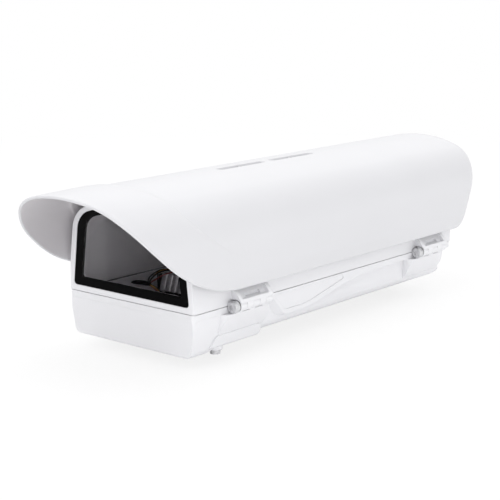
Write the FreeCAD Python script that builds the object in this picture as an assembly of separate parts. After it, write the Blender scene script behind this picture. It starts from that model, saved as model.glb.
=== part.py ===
import FreeCAD, Part
import math
import os

# Security camera housing that opens sideways: a base tray, a hinged lid with the
# window in its front, and a sunshield that slides on the lid.
# Units are millimetres. +Z is up and the window faces -Y.
# The origin is the middle of the bracket holes on the underside of the tray.

V = FreeCAD.Vector

# Body at the parting plane between tray and lid
BODY_LENGTH = 381.0
BODY_WIDTH = 140.0
PART_Z = 31.0
FRONT_Y = -BODY_LENGTH / 2
REAR_Y = BODY_LENGTH / 2
HALF = BODY_WIDTH / 2
FRONT_CORNER_R = 3.5
REAR_CORNER_R = 14.0

# Tray
TRAY_WALL = 3.0
FLANGE_DEPTH = 5.4
FLANGE_OVERHANG = 4.0
TRAY_DRAFT = 0.7
TRAY_CORNER_R = 8.0
TRAY_REAR_INSET = 14.5
TRAY_REAR_R = 20.0
CHIN_DROP = 6.0
CHIN_LENGTH = 34.0
CHIN_FLAT = 17.0
CHIN_TAPER = 5.6
CHIN_CORNER_R = 7.0
CHIN_RAKE = 1.1

# Seal in the rim of the tray
SEAL_WIDTH = 3.0
SEAL_DEPTH = 2.6
SEAL_PROUD = 0.2
RIM_WALL = 2.4
PARTING_GAP = 0.5

# Lid section, as half widths and heights above the parting plane
LID_WALL = 2.8
LID_WAIST_X = HALF - 1.5
LID_WAIST_Z = 25.0
LID_WAIST_R = 180.0
LID_SHOULDER_X = HALF - 7.2
LID_SHOULDER_Z = 68.0
LID_SHOULDER_R = 23.0
LID_APEX_Z = 87.8
LID_CROWN_R = 153.0
LID_FRONT_WALL = 7.0

# Window
WINDOW_HALF_FOOT = HALF - 5.0
WINDOW_FOOT_Z = 5.3
WINDOW_FOOT_R = 3.0
WINDOW_SHOULDER_X = LID_SHOULDER_X - 4.7
WINDOW_SHOULDER_Z = LID_SHOULDER_Z - 2.7
WINDOW_SHOULDER_R = 19.0
WINDOW_APEX_Z = LID_APEX_Z - 4.2
WINDOW_CROWN_R = 149.0
CLEAR_HALF_FOOT = WINDOW_HALF_FOOT - 8.7
CLEAR_FOOT_Z = WINDOW_FOOT_Z + 7.2
CLEAR_FOOT_R = 2.0
CLEAR_SHOULDER_X = WINDOW_SHOULDER_X - 8.3
CLEAR_SHOULDER_Z = WINDOW_SHOULDER_Z - 2.9
CLEAR_SHOULDER_R = 15.0
CLEAR_APEX_Z = WINDOW_APEX_Z - 6.3
CLEAR_CROWN_R = 141.0
GLASS_THICK = 3.0
GLASS_RECESS = 0.5
GLASS_GAP = 0.15
GASKET_THICK = 1.0
GASKET_LEDGE = 0.6

# Hinges on the right and closing screws on the left
HINGE_X = HALF + 5.1
KNUCKLE_R = 4.6
KNUCKLE_WIDTH = 8.0
KNUCKLE_GAP = 0.3
KNUCKLE_COUNT = 5
HINGE_FRONT = 45.0
HINGE_PITCH = BODY_LENGTH - 115.0
PIN_R = 3.0
PIN_RUNNING = 0.06
PIN_OVERRUN = 1.0
HEAD_R = 4.9
HEAD_HEIGHT = 5.0
SOCKET_AF = 4.0
SOCKET_DEPTH = 1.0
WASHER_R = 4.7
WASHER_THICK = 1.0
HOOK_CLEARANCE = 0.4
ARM_CLEARANCE = 0.4
ARM_END = 1.0
ARM_SKIRT_REACH = 5.0
ARM_SKIRT_Z = 2.6
ARM_KNEE_REACH = 3.8
ARM_KNEE_Z = 5.2
ARM_TOP_X = HALF + 2.3
ARM_TOP_Z = 13.3
ARM_ROOT_Z = 24.0
ARM_RIM = 4.0
ARM_POCKET_DEPTH = 3.0
ARM_POCKET_SEAT = 0.45
ARM_SLOT_START = 12.0
ARM_SLOT_WIDTH = 18.5
ARM_SLOT_HEIGHT = 2.9
ARM_SLOT_BACK = HALF + 1.2
BLOCK_LEAD = 14.0
BLOCK_TAIL = 6.0
BLOCK_END_R = 14.0
BLOCK_RAMP_R = 7.0
BLOCK_REACH = HINGE_X + 0.2
BLOCK_FOOT_X = HALF - 3.0
BLOCK_FOOT_Z = 8.0 - PART_Z
BLOCK_RAMP = 5.0

# Name plate field on the sides, left bare
PLATE_FRONT = 87.0
PLATE_END = BODY_LENGTH - 136.0
PLATE_FACET = 8.0
PLATE_LOW_Z = 9.5 - PART_Z
PLATE_TAIL_Z = -4.7
PLATE_SWEEP = 95.0
PLATE_RISE = 1.0
PLATE_SWEEP_R = 100.0
PLATE_TAIL = 45.0
FIELD_DEPTH = 0.5

# Accessory pads under the front hinges
PAD_FRONT = 21.5
PAD_LENGTH = 62.5
PAD_TOP_Z = 8.7 - PART_Z
PAD_BOTTOM_Z = -2.0 - PART_Z
PAD_REACH = HALF - 1.7
PAD_ROOT_X = HALF - 22.0
PAD_SCREW_X = HALF - 10.0
PAD_SCREW_BACK = 14.5
PAD_BOSS_R = 6.0
PAD_BOSS_DROP = 2.4
PAD_HEAD_R = 4.2
PAD_HEAD_HEIGHT = 3.2
PAD_SHANK_R = 2.5
PAD_SHANK_LENGTH = 10.0
PAD_WASHER_R = 5.2
PAD_WASHER_THICK = 0.8

# Sunshield
SHIELD_WALL = 2.5
SHIELD_CROWN_Z = LID_APEX_Z + 7.4
SHIELD_CROWN_R = 147.0
SHIELD_CROWN_HALF = HALF - 25.0
SHIELD_SHOULDER_R = 47.0
SHIELD_SIDE_ANGLE = 85.0
SHIELD_FOLD_Z = 26.0
SHIELD_HEM_X = HALF + 8.0
SHIELD_HEM_Z = 14.0
HOOD_TIP = 79.0
HOOD_EDGE_START = 55.0
HOOD_EDGE_R = 139.0
HOOD_EDGE_ANGLE = 48.5
HOOD_LIP_RISE = 1.8
HOOD_LIP_BACK = 64.0
SHIELD_REAR_FOOT = BODY_LENGTH - 17.0
SHIELD_REAR_CORNER_R = 14.0
SHIELD_REAR_TOP = BODY_LENGTH + 45.0
CHANNEL_WIDTH = 7.0
CHANNEL_DEPTH = 2.6
CHANNEL_FLOOR = 2.0
CHANNEL_LENGTH = 60.0
CHANNEL_PITCH = 70.0
CHANNEL_FIRST = 139.0
SLOT_WIDTH = 4.4
SLOT_LENGTH = 48.0
SHIELD_SEAT_GAP = 0.2
SHIELD_POST_R = 8.0
SHIELD_SCREW_R = 2.0
SHIELD_SCREW_DEPTH = 9.0
SHIELD_HEAD_R = 3.1
SHIELD_HEAD_HEIGHT = 1.7

# Bracket holes and glands on the underside
BRACKET_SPACING_X = 60.0
BRACKET_SPACING_Y = 100.0
BRACKET_HOLE_R = 2.5
BRACKET_HOLE_DEPTH = 9.5
BRACKET_BOSS_R = 7.0
BRACKET_BOSS_HEIGHT = 11.5
GLAND_Y = BODY_LENGTH - 63.0
GLAND_PITCH = 31.0
GLAND_LAND = 0.6
GLAND_LAND_LEAD = 22.0
GLAND_THREAD_R = 8.0
GLAND_HEX_AF = 20.0
GLAND_HEX_HEIGHT = 5.0
GLAND_STUB = 7.5
GLAND_DOME_R = 9.2
GLAND_DOME_HEIGHT = 11.0
GLAND_DOME_TAPER = 2.2
GLAND_COLLAR_R = 7.2
GLAND_COLLAR_DROP = 5.0
GLAND_NUT_LIP = 1.6
GLAND_SEAL_GRIP = 1.5
GLAND_BORE_R = 5.0
LOCKNUT_AF = 21.0
LOCKNUT_HEIGHT = 3.0
PLUG_HEAD_HEIGHT = 3.5
PLUG_STUB = 8.0
PLUG_WASHER_THICK = 1.0
PLUG_WASHER_R = 9.8

# Inner fittings
CAMERA_PLATE_FRONT = 66.0
CAMERA_PLATE_LENGTH = BODY_LENGTH - 181.0
CAMERA_PLATE_WIDTH = BODY_WIDTH - 56.0
CAMERA_PLATE_THICK = 2.0
CAMERA_PLATE_LIP = 6.0
PLATE_POST_HEIGHT = 9.0
PLATE_POST_R = 5.0
PLATE_SCREW_R = 1.5
PLATE_SCREW_INSET = 9.0
PLATE_SCREW_AF = 5.5
PLATE_SCREW_HEAD = 2.4
PLATE_SCREW_DEPTH = 8.0
BOARD_SCREW_DEPTH = 6.0
CAMERA_SLOT_WIDTH = 6.8
CAMERA_SLOT_LENGTH = 110.0
CAMERA_SCREW_R = 3.175
CAMERA_STUD_LENGTH = 9.0
CAMERA_NECK_R = 2.5
CAMERA_NECK_RISE = 0.5
CAMERA_HEAD_R = 8.0
CAMERA_HEAD_HEIGHT = 5.0
COIN_SLOT = 1.6
BOARD_LENGTH = 32.0
BOARD_WIDTH = 76.0
BOARD_THICK = 1.6
BOARD_GAP = 6.0
BOARD_POST_R = 3.5
BOARD_INSET = 4.5
TERMINAL_WAYS = 6
TERMINAL_PITCH = 5.0
TERMINAL_DEPTH = 8.0
TERMINAL_HEIGHT = 10.0


def back(distance):
    """Y of a place that lies this far behind the front of the body."""
    return FRONT_Y + distance


def up(height):
    """Z of a place at this height above the parting plane."""
    return PART_Z + height


def box(x0, x1, y0, y1, z0, z1):
    return Part.makeBox(x1 - x0, y1 - y0, z1 - z0, V(x0, y0, z0))


def rod(radius, length, start, direction):
    return Part.makeCylinder(radius, length, start, direction)


def hexagon(across_flats, height, centre):
    radius = across_flats / math.sqrt(3)
    corners = [centre + V(radius * math.cos(math.radians(60 * i)),
                          radius * math.sin(math.radians(60 * i)), 0) for i in range(7)]
    return Part.Face(Part.makePolygon(corners)).extrude(V(0, 0, height))


def corner_cuts(corners):
    """Length that each corner's rounding takes off its two sides, shared where a side is short."""
    count = len(corners)
    points = [V(u, v, 0) for u, v, _ in corners]
    half_turns = []
    cuts = []
    for i, (_, _, radius) in enumerate(corners):
        before = points[i - 1] - points[i]
        after = points[(i + 1) % count] - points[i]
        half_turns.append((math.pi - before.getAngle(after)) / 2)
        cuts.append(max(radius, 0.0) * math.tan(half_turns[i]))
    shares = [1.0] * count
    for i in range(count):
        j = (i + 1) % count
        side = (points[j] - points[i]).Length
        if cuts[i] + cuts[j] > side:
            share = 0.999 * side / (cuts[i] + cuts[j])
            shares[i] = min(shares[i], share)
            shares[j] = min(shares[j], share)
    return half_turns, [cut * share for cut, share in zip(cuts, shares)]


def outline(corners, place):
    """Closed wire through the corners (u, v, radius), each corner rounded by its radius.

    place turns a pair (u, v) into a point in space.
    """
    edges = []
    joints = []
    count = len(corners)
    half_turns, cuts = corner_cuts(corners)
    for i, (u, v, _) in enumerate(corners):
        here = V(u, v, 0)
        if cuts[i] < 1e-6:
            joints.append((here, here, here))
            continue
        to_before = (V(*corners[i - 1][:2], 0) - here).normalize()
        to_after = (V(*corners[(i + 1) % count][:2], 0) - here).normalize()
        radius = cuts[i] / math.tan(half_turns[i])
        inward = (to_before + to_after).normalize()
        centre = here + inward * (radius / math.cos(half_turns[i]))
        joints.append((here + to_before * cuts[i], centre - inward * radius, here + to_after * cuts[i]))
    for i, (start, middle, end) in enumerate(joints):
        if (end - start).Length > 1e-6:
            points = [place(p.x, p.y) for p in (start, middle, end)]
            edges.append(Part.Arc(*points).toShape())
        following = joints[(i + 1) % count][0]
        if (following - end).Length > 1e-6:
            edges.append(Part.makeLine(place(end.x, end.y), place(following.x, following.y)))
    return Part.Wire(edges)


def prism_x(corners, x0, x1):
    """Outline in (y, z), extruded from x0 to x1."""
    wire = outline(corners, lambda y, z: V(x0, y, z))
    return Part.Face(wire).extrude(V(x1 - x0, 0, 0))


def prism_y(corners, y0, y1):
    """Outline in (x, z), extruded from y0 to y1."""
    wire = outline(corners, lambda x, z: V(x, y0, z))
    return Part.Face(wire).extrude(V(0, y1 - y0, 0))


def prism_z(corners, z0, z1):
    """Outline in (x, y), extruded from z0 to z1."""
    wire = outline(corners, lambda x, y: V(x, y, z0))
    return Part.Face(wire).extrude(V(0, 0, z1 - z0))


def both_sides(corners):
    """Corners of a right half from the foot to the crown, completed on the left."""
    left = [(-x, z, radius) for x, z, radius in reversed(corners) if x > 0]
    return corners + left


def mirrored(shape):
    return shape.mirror(V(0, 0, 0), V(1, 0, 0))


def fuse(shapes):
    result = shapes[0].fuse(shapes[1:]) if len(shapes) > 1 else shapes[0]
    return result.removeSplitter()


def rounded_plan(inset, front, rear, front_r, rear_r):
    """Plan outline of the body, drawn in by inset at the sides."""
    half = HALF - inset
    return [(half, front, front_r), (half, rear, rear_r), (-half, rear, rear_r), (-half, front, front_r)]


def arch(corners, offset, y0, y1):
    """Prism along Y of an arched outline, grown or shrunk evenly by offset."""
    face = Part.Face(outline(both_sides(corners), lambda x, z: V(x, y0, z)))
    if offset:
        face = face.makeOffset2D(offset, 2, False, False, True)
    return face.extrude(V(0, y1 - y0, 0))


# Tray

def tray_section(inset, floor_z):
    """Front view of the tray below its flange; inset is the wall that is left outside."""
    top = HALF - FLANGE_OVERHANG - inset
    corner = max(TRAY_CORNER_R - inset, 1.0)
    foot = top - TRAY_DRAFT
    return [(top, up(1.0), 0), (foot, floor_z, corner), (-foot, floor_z, corner), (-top, up(1.0), 0)]


def tray_side_view(front, rear, floor_z, corner):
    return [(front, up(1.0), 0), (front, floor_z, 0), (rear, floor_z, corner), (rear, up(1.0), 0)]


def tray_body():
    rear = REAR_Y - TRAY_REAR_INSET
    section = prism_y(tray_section(0, 0.0), back(5.0), rear + 5)
    side = prism_x(tray_side_view(back(5.0), rear, 0.0, TRAY_REAR_R), -HALF, HALF)
    plan = prism_z(rounded_plan(FLANGE_OVERHANG, back(5.0), rear, 1.0, REAR_CORNER_R - 2), -1, up(2.0))
    body = section.common(side).common(plan).common(box(-HALF, HALF, FRONT_Y, REAR_Y, -1, PART_Z))
    return body.cut(box(-HALF, HALF, back(GLAND_Y - GLAND_LAND_LEAD), REAR_Y, -1, GLAND_LAND))


def tray_chin():
    bottom = -CHIN_DROP
    foot = HALF - CHIN_TAPER
    front_view = [(HALF, up(0), 0), (HALF - 0.6, up(-9.0), 30.0), (foot, bottom, CHIN_CORNER_R),
                  (-foot, bottom, CHIN_CORNER_R), (-HALF + 0.6, up(-9.0), 30.0), (-HALF, up(0), 0)]
    side_view = [(FRONT_Y, up(0), 0), (FRONT_Y + CHIN_RAKE, bottom, 2.5),
                 (back(CHIN_FLAT), bottom, 6.0), (back(CHIN_LENGTH - 10), -CHIN_DROP / 1.5, 4.0),
                 (back(CHIN_LENGTH), 0.0, 0), (back(CHIN_LENGTH), up(0), 0)]
    front = prism_y(front_view, FRONT_Y, back(CHIN_LENGTH))
    side = prism_x(side_view, -HALF, HALF)
    plan = prism_z(rounded_plan(0, FRONT_Y, back(CHIN_LENGTH), FRONT_CORNER_R, 0.5), -CHIN_DROP - 1, up(1))
    return front.common(side).common(plan)


def tray_flange():
    plan = rounded_plan(0, FRONT_Y, REAR_Y, FRONT_CORNER_R, REAR_CORNER_R)
    return prism_z(plan, up(-FLANGE_DEPTH), PART_Z)


def hinge_starts():
    return [back(HINGE_FRONT), back(HINGE_FRONT + HINGE_PITCH)]


def knuckle_span(index):
    """Start and end of knuckle number index, counted from the front of its hinge."""
    return index * KNUCKLE_WIDTH, (index + 1) * KNUCKLE_WIDTH - KNUCKLE_GAP


def shelf_z():
    return up(-KNUCKLE_R - 0.8)


def hinge_block(start):
    """Right-hand block that carries the tray's knuckles, with its shelf for the screw head."""
    y0 = start - BLOCK_LEAD
    y1 = start + KNUCKLE_COUNT * KNUCKLE_WIDTH + BLOCK_TAIL
    root = HALF - FLANGE_OVERHANG - TRAY_WALL
    section = prism_y([(root, shelf_z(), 0), (BLOCK_REACH, shelf_z(), 0.8),
                       (BLOCK_FOOT_X, up(BLOCK_FOOT_Z), 2.0), (root, up(BLOCK_FOOT_Z - 2), 0)], y0, y1)
    low, high = up(BLOCK_FOOT_Z - 3), shelf_z() + 1
    plan = prism_z([(root, y0, 0), (HALF - 1, y0, BLOCK_RAMP_R), (BLOCK_REACH, y0 + BLOCK_RAMP, BLOCK_RAMP_R),
                    (BLOCK_REACH, y1 - BLOCK_RAMP, BLOCK_RAMP_R), (HALF - 1, y1, 0), (root, y1, 0)], low, high)
    side = prism_x([(y0, high, 0), (y0, low, 0), (y1, low, BLOCK_END_R), (y1, high, 0)], root, BLOCK_REACH)
    return section.common(plan).common(side)


def tray_knuckles(start):
    """Tray's knuckles of one right-hand hinge, each with a web down to the block."""
    pieces = []
    for index in range(0, KNUCKLE_COUNT, 2):
        y0, y1 = knuckle_span(index)
        barrel = rod(KNUCKLE_R, y1 - y0, V(HINGE_X, start + y0, PART_Z), V(0, 1, 0))
        web = box(HALF - 2, HINGE_X, start + y0, start + y1, shelf_z() - 1, PART_Z)
        pieces.append(barrel.fuse(web))
    return pieces


def plate_outline(x, facet):
    """Side view of the raised name plate field at depth x; facet shifts its front edge back."""
    corners = [(back(PLATE_FRONT + facet), up(-2.0), 0),
               (back(PLATE_FRONT + 18 + facet), up(PLATE_LOW_Z), 8.0),
               (back(PLATE_END - PLATE_SWEEP), up(PLATE_LOW_Z + PLATE_RISE), PLATE_SWEEP_R),
               (back(PLATE_END - PLATE_TAIL), up(2 * PLATE_TAIL_Z), PLATE_SWEEP_R),
               (back(PLATE_END), up(PLATE_TAIL_Z), 0),
               (back(PLATE_END), up(-2.0), 0)]
    return outline(corners, lambda y, z: V(x, y, z))


def name_plate():
    root = plate_outline(HALF - FLANGE_OVERHANG - 1.0, 0.0)
    face = plate_outline(HALF, PLATE_FACET)
    return Part.makeLoft([root, face], True, True)


def name_field():
    """Shallow bare field in the name plate, as a cutter."""
    corners = [(back(100.0), up(-3.2), 1.0), (back(113.5), up(-17.0), 4.0),
               (back(144.0), up(-16.8), 60.0), (back(200.0), up(-4.4), 2.0), (back(194.0), up(-1.6), 2.0)]
    return prism_x(corners, HALF - FIELD_DEPTH, HALF + 1)


def accessory_pad():
    """Right-hand pad low on the side, with a boss for the accessory screw."""
    y0, y1 = back(PAD_FRONT), back(PAD_FRONT + PAD_LENGTH)
    section = prism_y([(PAD_ROOT_X, up(PAD_TOP_Z), 0), (PAD_REACH, up(PAD_TOP_Z), 1.0),
                       (PAD_REACH - 1.8, up(PAD_BOTTOM_Z), 3.0), (PAD_ROOT_X, up(PAD_BOTTOM_Z), 0)], y0, y1)
    side = prism_x([(y0 + 7, up(PAD_TOP_Z), 7.0), (y0, up(PAD_BOTTOM_Z), 1.0),
                    (y1, up(PAD_BOTTOM_Z), 4.5), (y1, up(PAD_TOP_Z), 4.5)], PAD_ROOT_X, PAD_REACH + 1)
    boss = rod(PAD_BOSS_R, PAD_BOSS_DROP + 4, V(*accessory_screw_seat()), V(0, 0, 1))
    return section.common(side).fuse(boss)


def accessory_screw_seat():
    """Point on the underside of the right pad's boss, on the screw's axis."""
    return PAD_SCREW_X, back(PAD_FRONT + PAD_SCREW_BACK), up(PAD_BOTTOM_Z - PAD_BOSS_DROP)


def tray_cavity():
    rear = REAR_Y - TRAY_REAR_INSET - TRAY_WALL
    section = prism_y(tray_section(TRAY_WALL, TRAY_WALL), back(6.0), rear + 5)
    side = prism_x(tray_side_view(back(6.0), rear, TRAY_WALL, TRAY_REAR_R - TRAY_WALL), -HALF, HALF)
    plan = prism_z(rounded_plan(FLANGE_OVERHANG + TRAY_WALL, back(6.0), rear, 4.0,
                                REAR_CORNER_R - 2 - TRAY_WALL), 0, up(2.0))
    return section.common(side).common(plan)


def chin_cavity():
    half = HALF - CHIN_TAPER - TRAY_WALL - 1
    return box(-half, half, back(5.0), back(CHIN_FLAT), TRAY_WALL - CHIN_DROP, TRAY_WALL + 1)


def seal_loop(depth, proud):
    """Ring of the seal in plan, from depth below the parting plane to proud above it."""
    outer_plan = rounded_plan(RIM_WALL, FRONT_Y + RIM_WALL, REAR_Y - TRAY_REAR_INSET + 2, 3.0, 12.0)
    inner_plan = rounded_plan(RIM_WALL + SEAL_WIDTH, FRONT_Y + RIM_WALL + SEAL_WIDTH,
                              REAR_Y - TRAY_REAR_INSET + 2 - SEAL_WIDTH, 2.0, 9.0)
    outer = prism_z(outer_plan, up(-depth), up(proud))
    return outer.cut(prism_z(inner_plan, up(-depth), up(proud)))


def bracket_centres():
    return [(sx * BRACKET_SPACING_X / 2, sy * BRACKET_SPACING_Y / 2) for sx in (-1, 1) for sy in (-1, 1)]


def plate_post_centres():
    half = CAMERA_PLATE_WIDTH / 2 - PLATE_SCREW_INSET
    front = back(CAMERA_PLATE_FRONT + PLATE_SCREW_INSET)
    rear = back(CAMERA_PLATE_FRONT + CAMERA_PLATE_LENGTH - PLATE_SCREW_INSET)
    return [(x, y) for x in (-half, half) for y in (front, rear)]


def board_span():
    """Front and rear of the terminal board, ahead of the gland holes."""
    rear = back(GLAND_Y) - LOCKNUT_AF / 2 - 3
    return rear - BOARD_LENGTH, rear


def board_post_centres():
    front, rear = board_span()
    half = BOARD_WIDTH / 2 - BOARD_INSET
    return [(-half, front + BOARD_INSET), (half, rear - BOARD_INSET)]


def gland_centres():
    return [(-GLAND_PITCH, back(GLAND_Y)), (0.0, back(GLAND_Y)), (GLAND_PITCH, back(GLAND_Y))]


def make_base_tray():
    right = [name_plate(), accessory_pad()]
    for start in hinge_starts():
        right.append(hinge_block(start))
        right += tray_knuckles(start)
    solid = fuse([tray_body(), tray_chin(), tray_flange()] + right + [mirrored(s) for s in right])
    solid = solid.cut([tray_cavity(), chin_cavity(), seal_loop(SEAL_DEPTH, 1.0)])
    posts = [rod(BRACKET_BOSS_R, BRACKET_BOSS_HEIGHT, V(x, y, 0), V(0, 0, 1)) for x, y in bracket_centres()]
    posts += [rod(PLATE_POST_R, PLATE_POST_HEIGHT + 1, V(x, y, TRAY_WALL - 1), V(0, 0, 1))
              for x, y in plate_post_centres()]
    posts += [rod(BOARD_POST_R, BOARD_GAP + 1, V(x, y, TRAY_WALL - 1), V(0, 0, 1))
              for x, y in board_post_centres()]
    solid = solid.fuse(posts)
    holes = [rod(BRACKET_HOLE_R, BRACKET_HOLE_DEPTH, V(x, y, 0), V(0, 0, 1)) for x, y in bracket_centres()]
    holes += [rod(GLAND_THREAD_R, 2 * TRAY_WALL, V(x, y, -1), V(0, 0, 1)) for x, y in gland_centres()]
    holes += [rod(PLATE_SCREW_R, PLATE_POST_HEIGHT, V(x, y, TRAY_WALL + 1), V(0, 0, 1))
              for x, y in plate_post_centres()]
    holes += [rod(PLATE_SCREW_R, BOARD_GAP, V(x, y, TRAY_WALL + 1), V(0, 0, 1))
              for x, y in board_post_centres()]
    x, y, z = accessory_screw_seat()
    holes += [rod(PAD_SHANK_R, PAD_SHANK_LENGTH, V(side * x, y, z), V(0, 0, 1)) for side in (-1, 1)]
    for start in hinge_starts():
        length = KNUCKLE_COUNT * KNUCKLE_WIDTH + 2
        holes.append(rod(PIN_R, length, V(HINGE_X, start - 1, PART_Z), V(0, 1, 0)))
        holes.append(rod(PIN_R + PIN_RUNNING, length, V(-HINGE_X, start - 1, PART_Z), V(0, 1, 0)))
    holes += [name_field(), mirrored(name_field())]
    return solid.cut(holes).removeSplitter()


# Lid

def lid_corners():
    return [(HALF, PART_Z - 40.0, 0), (HALF, PART_Z, 0.0), (LID_WAIST_X, up(LID_WAIST_Z), LID_WAIST_R),
            (LID_SHOULDER_X, up(LID_SHOULDER_Z), LID_SHOULDER_R), (0.0, up(LID_APEX_Z), LID_CROWN_R)]


def lid_outer(inset):
    face = arch(lid_corners(), -inset, FRONT_Y, REAR_Y)
    plan = prism_z(rounded_plan(-1, FRONT_Y, REAR_Y, FRONT_CORNER_R, REAR_CORNER_R), -50, up(120))
    return face.common(plan)


def lid_inner():
    face = arch(lid_corners(), -LID_WALL, back(LID_FRONT_WALL), REAR_Y - LID_WALL)
    plan = prism_z(rounded_plan(LID_WALL - 1, back(LID_FRONT_WALL), REAR_Y - LID_WALL, 2.0,
                                REAR_CORNER_R - LID_WALL), -50, up(120))
    return face.common(plan)


def window_corners():
    return [(WINDOW_HALF_FOOT, up(WINDOW_FOOT_Z), WINDOW_FOOT_R),
            (WINDOW_SHOULDER_X, up(WINDOW_SHOULDER_Z), WINDOW_SHOULDER_R),
            (0.0, up(WINDOW_APEX_Z), WINDOW_CROWN_R)]


def clear_corners():
    return [(CLEAR_HALF_FOOT, up(CLEAR_FOOT_Z), CLEAR_FOOT_R),
            (CLEAR_SHOULDER_X, up(CLEAR_SHOULDER_Z), CLEAR_SHOULDER_R),
            (0.0, up(CLEAR_APEX_Z), CLEAR_CROWN_R)]


def gasket_front():
    return FRONT_Y + GLASS_RECESS + GLASS_THICK


def arm_bottom():
    return up(KNUCKLE_R + ARM_CLEARANCE)


def arm_width():
    return KNUCKLE_COUNT * KNUCKLE_WIDTH + ARM_END


def arm_pocket(start):
    """Hollow in the arm's sloping face, open at the top, with a level seat above the knuckles."""
    run = V(HINGE_X + ARM_KNEE_REACH - ARM_TOP_X, 0, ARM_KNEE_Z - ARM_TOP_Z)
    floor_x = ARM_TOP_X + run.x * (arm_bottom() + ARM_POCKET_SEAT - up(ARM_TOP_Z)) / run.z
    floor_x += ARM_POCKET_DEPTH * run.Length / run.z
    rise = up(ARM_ROOT_Z) - arm_bottom() - ARM_POCKET_SEAT
    seat = arm_bottom() + ARM_POCKET_SEAT
    outside = HINGE_X + 2 * ARM_SKIRT_REACH
    return prism_y([(outside, seat, 0), (floor_x, seat, 0), (floor_x + rise * run.x / run.z, up(ARM_ROOT_Z), 0),
                    (outside, up(ARM_ROOT_Z), 0)], start + ARM_RIM, start + arm_width() - ARM_RIM)


def arm_slot(start):
    """Slot that goes on into the arm from the seat of its pocket."""
    low = arm_bottom() + ARM_POCKET_SEAT
    y0 = start + ARM_SLOT_START
    return box(ARM_SLOT_BACK, HINGE_X, y0, y0 + ARM_SLOT_WIDTH, low, low + ARM_SLOT_HEIGHT)


def lid_knuckle(start, index):
    """Lid's knuckle number index of a right-hand hinge, joined to the arm above it."""
    y0, y1 = knuckle_span(index)
    barrel = rod(KNUCKLE_R, y1 - y0, V(HINGE_X, start + y0, PART_Z), V(0, 1, 0))
    inner = box(HINGE_X - KNUCKLE_R, HINGE_X, start + y0, start + y1, PART_Z, arm_bottom())
    outer = box(HINGE_X, HINGE_X + KNUCKLE_R, start + y0, start + y1, PART_Z, up(ARM_SKIRT_Z))
    return barrel.fuse([inner, outer])


def lid_arm(start, hooked):
    """Right-hand arm that stands over one hinge, with its pocket and the lid's knuckles."""
    root = LID_WAIST_X - LID_WALL / 2
    body = prism_y([(root, arm_bottom(), 0), (HINGE_X, arm_bottom(), 0), (HINGE_X, up(ARM_SKIRT_Z), 0),
                    (HINGE_X + ARM_SKIRT_REACH, up(ARM_SKIRT_Z), 0.3),
                    (HINGE_X + ARM_KNEE_REACH, up(ARM_KNEE_Z), 1.5), (ARM_TOP_X, up(ARM_TOP_Z), 2.0),
                    (HALF - 0.2, up(ARM_ROOT_Z), 0), (root, up(ARM_ROOT_Z), 0)], start, start + arm_width())
    cuts = [arm_pocket(start), arm_slot(start)]
    for index in range(0, KNUCKLE_COUNT, 2):
        y0 = index * KNUCKLE_WIDTH - KNUCKLE_GAP
        length = KNUCKLE_WIDTH + KNUCKLE_GAP
        cuts.append(rod(KNUCKLE_R + ARM_CLEARANCE, length, V(HINGE_X, start + y0, PART_Z), V(0, 1, 0)))
    cuts.append(rod(KNUCKLE_R + ARM_CLEARANCE, 2 * ARM_END,
                    V(HINGE_X, start + arm_width() - ARM_END - KNUCKLE_GAP, PART_Z), V(0, 1, 0)))
    body = body.cut(cuts).fuse([lid_knuckle(start, index) for index in range(1, KNUCKLE_COUNT, 2)])
    gap = HOOK_CLEARANCE if hooked else PIN_RUNNING
    openings = [rod(PIN_R + gap, arm_width(), V(HINGE_X, start, PART_Z), V(0, 1, 0))]
    if hooked:
        openings.append(box(HINGE_X - PIN_R - gap, HINGE_X + PIN_R + gap, start, start + arm_width(),
                            up(-2 * KNUCKLE_R), PART_Z))
    return body.cut(openings)


def channel_centres():
    return [back(CHANNEL_FIRST), back(CHANNEL_FIRST + CHANNEL_PITCH)]


def channel_bottom():
    return up(SHIELD_CROWN_Z) - CHANNEL_DEPTH - CHANNEL_FLOOR


def shield_post(y):
    """Post on the crown of the lid that carries the sunshield."""
    foot = up(LID_APEX_Z) - 14.0
    height = channel_bottom() - SHIELD_SEAT_GAP - foot
    return rod(SHIELD_POST_R, height, V(0, y, foot), V(0, 0, 1))


def make_lid_shell():
    shell = lid_outer(0).cut(lid_inner())
    shell = shell.cut(box(-2 * HALF, 2 * HALF, FRONT_Y - 1, REAR_Y + 1, -100, up(PARTING_GAP)))
    posts = []
    for y in channel_centres():
        posts.append(shield_post(y))
    arms = [lid_arm(start, False) for start in hinge_starts()]
    arms += [mirrored(lid_arm(start, True)) for start in hinge_starts()]
    shell = fuse([shell] + posts + arms)
    rebate = arch(window_corners(), 0, FRONT_Y - 1, gasket_front() + GASKET_THICK)
    light = arch(clear_corners(), GASKET_LEDGE, FRONT_Y - 1, back(LID_FRONT_WALL + 1))
    holes = [rod(SHIELD_SCREW_R, SHIELD_SCREW_DEPTH, V(0, y, channel_bottom() - SHIELD_SCREW_DEPTH), V(0, 0, 1))
             for y in channel_centres()]
    return shell.cut([rebate, light] + holes).removeSplitter()


def make_window_glass():
    y0 = FRONT_Y + GLASS_RECESS
    return arch(window_corners(), -GLASS_GAP, y0, y0 + GLASS_THICK)


def make_window_gasket():
    y0 = gasket_front()
    ring = arch(window_corners(), -GLASS_GAP, y0, y0 + GASKET_THICK)
    return ring.cut(arch(clear_corners(), 0, y0 - 1, y0 + GASKET_THICK + 1))


def make_body_seal():
    return seal_loop(SEAL_DEPTH, SEAL_PROUD)


# Screws of the hinges and the closing side

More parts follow.
